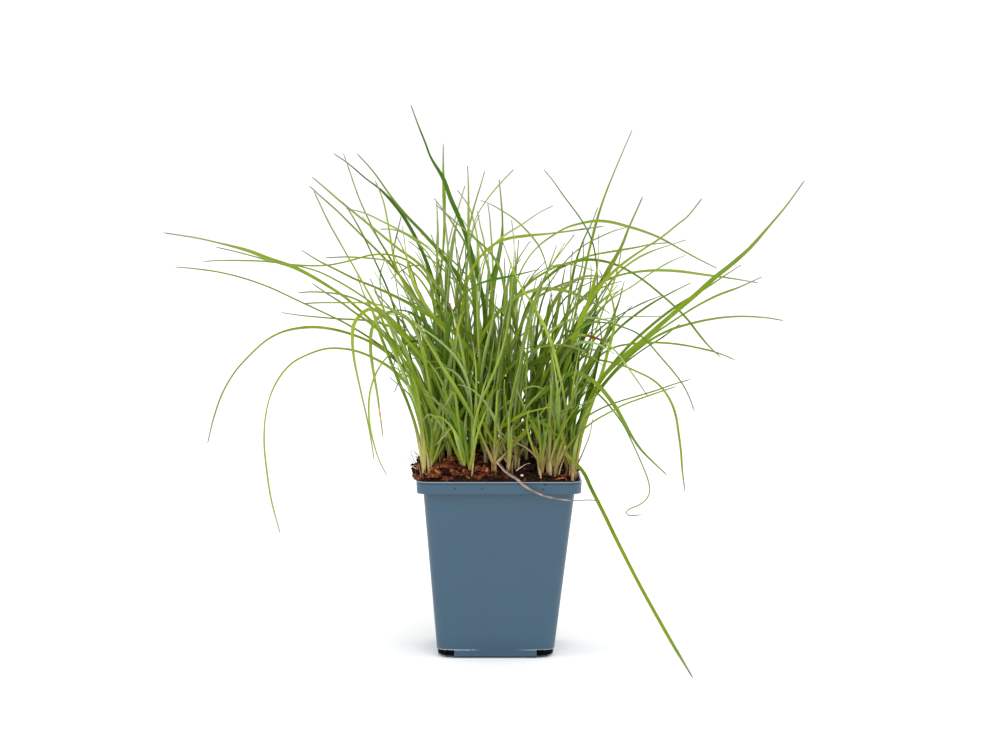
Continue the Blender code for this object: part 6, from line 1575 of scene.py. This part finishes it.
def add_leaf(bm, layers, blade, foot, chance):
    """One blade with its channelled base in the sheath, its keel and its drawn-out point."""
    places = fine_places(blade)
    if foot is not None:
        places = np.vstack((foot - np.array((0.0, 0.0, 2.5)), foot + np.array((0.0, 0.0, 1.5)), places))
    run = travelled(places)
    marks = marks_of(blade, run[-len(blade["drawn"]):])
    rust, death = peak(marks, "rust"), peak(marks, "dead")
    limit = min([spot for spot, _, kind in marks if kind == "past"] + [run[-1] - TIP_LENGTH])
    values = {
        "left": lambda step, across: TIP_LENGTH * (run[-1] - step) / (run[-1] - limit) + blade["fresh"],
        "rise": lambda step, across: step * blade["greening"],
        "tone": blade["tone"],
        "mark": rust,
        "dead": lambda step, across: max(min(death(step, across) * 3.0, 1.0), blade["brown"] * (1.0 - step / 26.0)),
        "straw": blade["straw"],
    }
    add_strip(bm, layers, places, lambda share, step: drawn_half_width(blade, share, run[-1] - step),
              lambda share, step: 18.0 + 36.0 * max(1.0 - step / 40.0, 0.0) + 8.0 * max(share - 0.7, 0.0) / 0.3,
              blade_roll(blade, chance), values, 0.42, (blade["shoot"], blade["order"]) in SHOWN)


def add_sheath(bm, layers, axis, greening, brown, chance):
    """The rolled base of a shoot, an uneven tube that ends in a slanted mouth."""
    rings = []
    stations = ((0, -1.5, 0.95), (0, 3.0, 1.05), (0, 6.0, 1.0), (1, 0.3, 0.95), (1, 0.6, 0.85), (1, 0.85, 0.7),
                (1, 1.0, 0.5))
    wave = chance.uniform(0.0, math.tau)
    for part, rise, radius in stations:
        if part == 0:
            centre = axis[1] + np.array((0.0, 0.0, rise - 3.0))
        else:
            bottom = axis[1] + np.array((0.0, 0.0, 3.0))
            centre = bottom + (axis[2] - bottom) * rise
        ring = []
        for k in range(10):
            angle = k * math.tau / 10.0
            reach = radius * (1.0 + 0.08 * math.sin(3.0 * angle + wave))
            ring.append(Vector((centre[0] + reach * math.cos(angle), centre[1] + reach * math.sin(angle),
                                centre[2] + 0.9 * math.sin(angle + wave) * (part * rise))) * MM)
        rings.append(ring)
    low = axis[1][2] - 3.0
    for vert in loft(bm, rings):
        vert[layers["rise"]] = max(vert.co.z / MM - low, 0.0) * 0.8 * greening
        vert[layers["left"]] = 60.0
        vert[layers["tone"]] = 0.2
        vert[layers["dead"]] = brown * max(1.0 - (vert.co.z / MM - low) / 26.0, 0.0)


def add_scale_leaves(bm, layers, axis, chance, count):
    """Short papery leaves that hug the shoot's foot, tan or brown and narrowing to the point."""
    for _ in range(count):
        turn = chance.uniform(0.0, math.tau)
        out = np.array((math.cos(turn), math.sin(turn), 0.0))
        foot = axis[1] - np.array((0.0, 0.0, 4.5)) + out * 1.0
        height = chance.uniform(7.0, 21.0)
        lean = (axis[2] - axis[1]) * min(height / 16.0, 1.3)
        spread = chance.uniform(0.1, 1.0) * height * 0.12
        places = np.array([foot + np.array((0.0, 0.0, height * share)) * (1.0 - 0.25 * share) * 0.6
                           + lean * share * 0.45 + out * (0.35 + spread * share ** 2.2)
                           for share in np.linspace(0.0, 1.0, 9)])
        width = chance.uniform(1.5, 2.6)
        brown = chance.random() < 0.4
        values = {"tone": 0.0, "mark": 0.0, "straw": chance.uniform(0.5, 1.0),
                  "dead": chance.uniform(0.35, 0.8) if brown else chance.uniform(0.0, 0.15)}
        along = places[-1] - places[0]
        inward = math.degrees(turn - math.atan2(along[1], along[0]))
        add_strip(bm, layers, places, lambda share, step: width * 0.5 * (1.0 - share ** 2.5) + 0.05,
                  lambda share, step: 48.0, lambda share, step: inward, values)


def shares_of(path, count):
    """The path's points spread evenly over count shares of its length."""
    run = travelled(path[:, :2])
    steps = np.linspace(0.0, run[-1], count)
    return np.column_stack([np.interp(steps, run, path[:, k]) for k in range(path.shape[1])])


def inside(point, outline):
    """Whether a point lies within a closed outline."""
    within = False
    for one, two in zip(outline, outline[1:] + outline[:1]):
        if (one[1] > point[1]) != (two[1] > point[1]):
            if point[0] < one[0] + (two[0] - one[0]) * (point[1] - one[1]) / (two[1] - one[1]):
                within = not within
    return within


def between_blades(blades, wanted):
    """Further fine blades, each grown between two that stand near its shoot, within the dense mass."""
    chance = random.Random(EXTRA_SEED)
    extras = []
    for number, (right, near, _) in enumerate(SHOOTS):
        foot = shoot_foot(right, near)
        base = noted(foot + np.array((0.0, 0.0, LEAF_START)))
        sound = [blade for blade in blades if blade["shoot"] < len(SHOOTS) and not blade["kinked"]]
        close, far = [[blade for blade in sound if abs(SHOOTS[blade["shoot"]][0] - right) < reach
                       and abs(SHOOTS[blade["shoot"]][1] - near) < 22.0] for reach in (13.0, 42.0)]
        made = 0
        for _ in range(wanted * 12):
            if made == wanted or len(close) < 2:
                break
            one, two = chance.sample(close if made % 2 else far, 2)
            share = chance.uniform(0.0, 1.0)
            mix = (1.0 - share) * shares_of(one["solid"], 46) + share * shares_of(two["solid"], 46)
            along = np.linspace(0.0, 1.0, 46)[:, None]
            mix = mix + (base - mix[0]) * (1.0 - along) ** 1.5
            mix[:, 2] += chance.uniform(-14.0, 14.0) * along[:, 0] ** 1.5
            mix = mix[:int(46 * (chance.uniform(0.62, 0.98) if made % 6 else chance.uniform(0.4, 0.6)))]
            if all(inside(point, MASS_OUTLINE) for point in mix[6::3, :2]):
                extras.append({"shoot": number, "order": -1, "drawn": mix, "path": mix, "solid": mix,
                               "width": chance.uniform(1.4, 2.9), "roll": chance.uniform(5.0, 70.0),
                               "waves": chance.uniform(6.0, 14.0), "start": chance.uniform(0.0, 6.0),
                               "greening": GREENING.get(number, one["greening"]) * chance.uniform(1.0, 1.5),
                               "tone": chance.uniform(0.2, 1.0) if made % 5 else -0.1, "straw": 0.0,
                               "fresh": chance.choice((3.0, 12.0, 14.0)), "kinked": False,
                               "brown": brown_foot(number)})
                made += 1
    return extras


def dress_blades(blades):
    """Gives every blade what only its looks need."""
    chance = random.Random(77)
    count = {}
    for blade in blades:
        blade["order"] = count.get(blade["shoot"], 0)
        count[blade["shoot"]] = blade["order"] + 1
        run = travelled(blade["path"][:, :2])
        drawn_run = travelled(blade["drawn"][:, :2])
        nears = np.interp(drawn_run / drawn_run[-1], run / run[-1], blade["path"][:, 2])
        blade["solid"] = np.column_stack((blade["drawn"][:, :2], nears))
        blade["tone"] = TONES.get((blade["shoot"], blade["order"]), chance.uniform(0.0, 1.0))
        blade["fresh"] = 0.0
        blade["brown"] = brown_foot(blade["shoot"])
        blade["greening"] = GREENING.get(blade["shoot"], 0.9 + 1.3 * math.sin(blade["shoot"] * 2.4) ** 2)
        blade["waves"] = chance.uniform(6.0, 14.0)
        blade["start"] = chance.uniform(0.0, 6.0)
        blade["straw"] = STRAWS.get((blade["shoot"], blade["order"]), 0.0)


def build_shoots(sizes, colours):
    need_nodes(*[f"shoot_{k + 1:02d}" for k in range(len(SHOOTS))])
    blades = all_blades()
    axes = sheath_axes(blades)
    ease_apart(blades, axes)
    dress_blades(blades)
    # 0.86 paints shade down the channel of the upper face, 1.12 paints a highlight along the keel of the underside
    upper = blade_material("Grass blade, upper face", tuple(colours.young), tuple(colours.deep), tuple(colours.base),
                           tuple(colours.tip), 0.86, 0.42)
    under = blade_material("Grass blade, underside", tuple(colours.young_under), tuple(colours.deep_under),
                           tuple(colours.base), tuple(colours.tip), 1.12, 0.5)
    extras = between_blades(blades, sizes.extras)
    chance = random.Random(41)
    for number, axis in enumerate(axes):
        bm, layers = leaf_bmesh()
        foot = shoot_foot(*SHOOTS[number][:2])
        for blade in [blade for blade in blades + extras if blade["shoot"] == number]:
            add_leaf(bm, layers, blade, foot, chance)
        add_scale_leaves(bm, layers, axis, chance, sizes.scales)
        skin(f"grass_shoot_{number + 1:02d}", bm, [upper, under], "grass", [f"shoot_{number + 1:02d}"], sizes)
        bm, layers = leaf_bmesh()
        greening = next(blade["greening"] for blade in blades if blade["shoot"] == number)
        add_sheath(bm, layers, axis, greening, brown_foot(number), chance)
        bmesh.ops.recalc_face_normals(bm, faces=bm.faces)
        put_piece(f"sheath_{number + 1:02d}", bm, [under])
    need_nodes("dry_leaf")
    bm, layers = leaf_bmesh()
    dry = next(blade for blade in blades if blade["shoot"] == len(SHOOTS))
    add_leaf(bm, layers, dry, None, chance)
    skin("fallen_dry_leaf", bm, [dry_material()] * 2, "dry_leaf", ["dry_leaf"], sizes)


def skin(name, bm, materials, slot, replaced, sizes):
    """A leaf piece whose strips get their thickness, the underside in the second material."""
    piece = put_piece(name, bm, materials, replaced)
    solidify = piece.modifiers.new("thickness", "SOLIDIFY")
    solidify.thickness = sizes.leaf_thickness
    solidify.offset = -1.0
    solidify.material_offset = 1
    solidify.material_offset_rim = 1
    return piece


def dry_material():
    """A dead leaf, air dried: a dull grey-tan strip, browner in patches, curled to a cord."""
    material, tree, shader = new_material("Dead grass leaf", 0.75, 1.4)
    place = add_node(tree, "ShaderNodeTexCoord").outputs["Object"]
    patches = add_node(tree, "ShaderNodeTexNoise", {"Vector": place, "Scale": 1.0 / 0.004, "Detail": 3.0})
    ramp = add_node(tree, "ShaderNodeValToRGB", {0: patches.outputs["Fac"]},
                    stops=[(0.3, tint("#6f5c50")), (0.5, tint("#927e6d")), (0.7, tint("#b5a28e"))])
    tree.links.new(ramp.outputs[0], shader.inputs["Base Color"])
    return material


def build_stage(stage):
    """A pale floor, an even white surround with one soft key light, and the photograph's camera."""
    bm = bmesh.new()
    bmesh.ops.create_grid(bm, x_segments=1, y_segments=1, size=stage.floor_size)
    mesh = bpy.data.meshes.new("floor")
    bm.to_mesh(mesh)
    bm.free()
    mesh.materials.append(floor_material(tuple(stage.floor_colour), stage.floor_glow))
    floor = bpy.data.objects.new("floor", mesh)
    bpy.context.scene.collection.objects.link(floor)
    world = bpy.data.worlds.new("Studio surround")
    bpy.context.scene.world = world
    world.use_nodes = True
    world.node_tree.nodes["Background"].inputs["Color"].default_value = (1.0, 1.0, 1.0, 1.0)
    world.node_tree.nodes["Background"].inputs["Strength"].default_value = stage.surround
    key = bpy.data.lights.new("Soft key", "SUN")
    key.energy = stage.key
    key.angle = stage.key_softness
    lamp = bpy.data.objects.new("Soft key", key)
    lamp.rotation_euler = Euler((math.radians(50.0), math.radians(5.0), math.radians(5.0)))
    bpy.context.scene.collection.objects.link(lamp)
    for turn in (-72.0, 78.0):
        panel = bpy.data.lights.new("Side panel", "SUN")
        panel.energy = stage.side
        panel.angle = math.radians(60.0)
        lamp = bpy.data.objects.new("Side panel", panel)
        lamp.rotation_euler = Euler((math.radians(78.0), 0.0, math.radians(turn)))
        bpy.context.scene.collection.objects.link(lamp)
    view = bpy.data.cameras.new("Photograph")
    view.lens = LENS
    view.sensor_width = 36.0
    view.shift_x = POT_SHIFT_PX / 1000.0
    camera = bpy.data.objects.new("Photograph", view)
    camera.location = Vector((0.0, -EYE_DISTANCE, EYE_HEIGHT)) * MM
    camera.rotation_euler = Euler((math.radians(90.0 - EYE_PITCH), 0.0, 0.0))
    bpy.context.scene.collection.objects.link(camera)
    bpy.context.scene.camera = camera
    settings = bpy.context.scene.view_settings
    settings.view_transform = "Standard"
    settings.look = "None"
    settings.exposure = 0.0
    settings.gamma = 1.0


class GrassClumpSizes(bpy.types.PropertyGroup):
    leaf_thickness: FloatProperty(name="Leaf thickness", description="Thickness of a blade", default=0.00016,
                                  min=0.00005, precision=5, unit="LENGTH")
    extras: IntProperty(name="Further blades", description="Fine blades added to each shoot", default=6, min=0, max=9)
    scales: IntProperty(name="Scale leaves", description="Papery leaves at each shoot's foot", default=2, min=0, max=5)
    crumbs: IntProperty(name="Peat crumbs", description="Loose crumbs on the peat", default=1500, min=0, max=3000)
    slivers: IntProperty(name="Bark slivers", description="Small pieces of bark on the peat", default=420, min=0,
                         max=900)
    fibres: IntProperty(name="Root fibres", description="Fine roots that stick out of the peat", default=90, min=0,
                        max=300)


class GrassClumpColours(bpy.types.PropertyGroup):
    pot_colour: FloatVectorProperty(name="Pot", description="Colour of the plastic", subtype="COLOR", size=3,
                                    min=0.0, max=1.0, default=srgb("#1e455b"))
    # Pale colour of the stress-whitened seam flash, also used for the painted highlight along the rim's top edge
    flash_and_highlight_colour: FloatVectorProperty(name="Flash", description="Stress-whitened plastic", subtype="COLOR", size=3,
                                      min=0.0, max=1.0, default=srgb("#a9bbc3"))
    young: FloatVectorProperty(name="Young blade", description="Upper face of the palest blades", subtype="COLOR",
                               size=3, min=0.0, max=1.0, default=srgb("#99ad28"))
    deep: FloatVectorProperty(name="Deep blade", description="Upper face of the darkest blades", subtype="COLOR",
                              size=3, min=0.0, max=1.0, default=srgb("#3c6206"))
    young_under: FloatVectorProperty(name="Young underside", description="Underside of the palest blades",
                                     subtype="COLOR", size=3, min=0.0, max=1.0, default=srgb("#9db044"))
    deep_under: FloatVectorProperty(name="Deep underside", description="Underside of the darkest blades",
                                    subtype="COLOR", size=3, min=0.0, max=1.0, default=srgb("#4b6e18"))
    base: FloatVectorProperty(name="Blanched base", description="Where the sheath kept the light off", subtype="COLOR",
                              size=3, min=0.0, max=1.0, default=srgb("#b89d6a"))
    tip: FloatVectorProperty(name="Withered point", description="The last millimetres of a blade", subtype="COLOR",
                             size=3, min=0.0, max=1.0, default=srgb("#5e5450"))


class GrassClumpStage(bpy.types.PropertyGroup):
    floor_colour: FloatVectorProperty(name="Floor", description="Colour of the studio paper", subtype="COLOR", size=3,
                                      min=0.0, max=1.0, default=srgb("#f6f6f6"))
    floor_glow: FloatProperty(name="Floor glow", description="Light that comes up through the floor", default=0.02,
                              min=0.0)
    floor_size: FloatProperty(name="Floor reach", description="Half the floor's side", default=9.0, unit="LENGTH")
    surround: FloatProperty(name="Surround", description="Strength of the white surround", default=1.06, min=0.0)
    key: FloatProperty(name="Key light", description="Strength of the soft key light", default=1.2, min=0.0)
    side: FloatProperty(name="Side light", description="Strength of each side light", default=0.55, min=0.0)
    key_softness: FloatProperty(name="Key softness", description="Angle that the key light fills",
                                default=math.radians(40.0), subtype="ANGLE")


class GRASSCLUMP_OT_pot(bpy.types.Operator):
    """Models the moulded pot with its rim bead, seam, notches and drain holes"""
    bl_idname = "grassclump.pot"
    bl_label = "Nursery pot"

    def execute(self, context):
        build_pot(context.scene.grass_clump_colours)
        return {"FINISHED"}


class GRASSCLUMP_OT_peat(bpy.types.Operator):
    """Models the peat's crumbly surface and the perlite in it"""
    bl_idname = "grassclump.peat"
    bl_label = "Peat"

    def execute(self, context):
        build_peat(context.scene.grass_clump_sizes)
        return {"FINISHED"}


class GRASSCLUMP_OT_bark(bpy.types.Operator):
    """Models the bark chips and slivers on the peat"""
    bl_idname = "grassclump.bark"
    bl_label = "Bark"

    def execute(self, context):
        build_bark(context.scene.grass_clump_sizes)
        return {"FINISHED"}


class GRASSCLUMP_OT_fibres(bpy.types.Operator):
    """Models the fine roots that stick out of the peat"""
    bl_idname = "grassclump.fibres"
    bl_label = "Root fibres"

    def execute(self, context):
        build_fibres(context.scene.grass_clump_sizes)
        return {"FINISHED"}


class GRASSCLUMP_OT_shoots(bpy.types.Operator):
    """Models every shoot with its sheath, blades and scale leaves, and the dead leaf on the rim"""
    bl_idname = "grassclump.shoots"
    bl_label = "Shoots"

    def execute(self, context):
        build_shoots(context.scene.grass_clump_sizes, context.scene.grass_clump_colours)
        return {"FINISHED"}


class GRASSCLUMP_OT_stage(bpy.types.Operator):
    """Sets the floor, the light and the camera"""
    bl_idname = "grassclump.stage"
    bl_label = "Stage"

    def execute(self, context):
        build_stage(context.scene.grass_clump_stage)
        return {"FINISHED"}


OPERATORS = (GRASSCLUMP_OT_pot, GRASSCLUMP_OT_peat, GRASSCLUMP_OT_bark, GRASSCLUMP_OT_fibres, GRASSCLUMP_OT_shoots,
             GRASSCLUMP_OT_stage)


class GRASSCLUMP_PT_panel(bpy.types.Panel):
    """Lists the clump's sizes, colours and build steps"""
    bl_idname = "GRASSCLUMP_PT_panel"
    bl_label = "Potted grass clump"
    bl_space_type = "VIEW_3D"
    bl_region_type = "UI"
    bl_category = "Grass clump"

    def draw(self, context):
        scene = context.scene
        for group in (scene.grass_clump_sizes, scene.grass_clump_colours, scene.grass_clump_stage):
            box = self.layout.box()
            for name in group.bl_rna.properties.keys():
                if name not in ("rna_type", "name"):
                    box.prop(group, name)
        for operator in OPERATORS:
            self.layout.operator(operator.bl_idname)


CLASSES = (GrassClumpSizes, GrassClumpColours, GrassClumpStage, *OPERATORS, GRASSCLUMP_PT_panel)


def register():
    for item in CLASSES:
        bpy.utils.register_class(item)
    bpy.types.Scene.grass_clump_sizes = PointerProperty(type=GrassClumpSizes)
    bpy.types.Scene.grass_clump_colours = PointerProperty(type=GrassClumpColours)
    bpy.types.Scene.grass_clump_stage = PointerProperty(type=GrassClumpStage)


def unregister():
    del bpy.types.Scene.grass_clump_stage
    del bpy.types.Scene.grass_clump_colours
    del bpy.types.Scene.grass_clump_sizes
    for item in reversed(CLASSES):
        bpy.utils.unregister_class(item)


def main():
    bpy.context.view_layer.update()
    register()
    bpy.ops.grassclump.pot()
    bpy.ops.grassclump.peat()
    bpy.ops.grassclump.bark()
    bpy.ops.grassclump.fibres()
    bpy.ops.grassclump.shoots()
    bpy.ops.grassclump.stage()


if __name__ == "__main__":
    main()
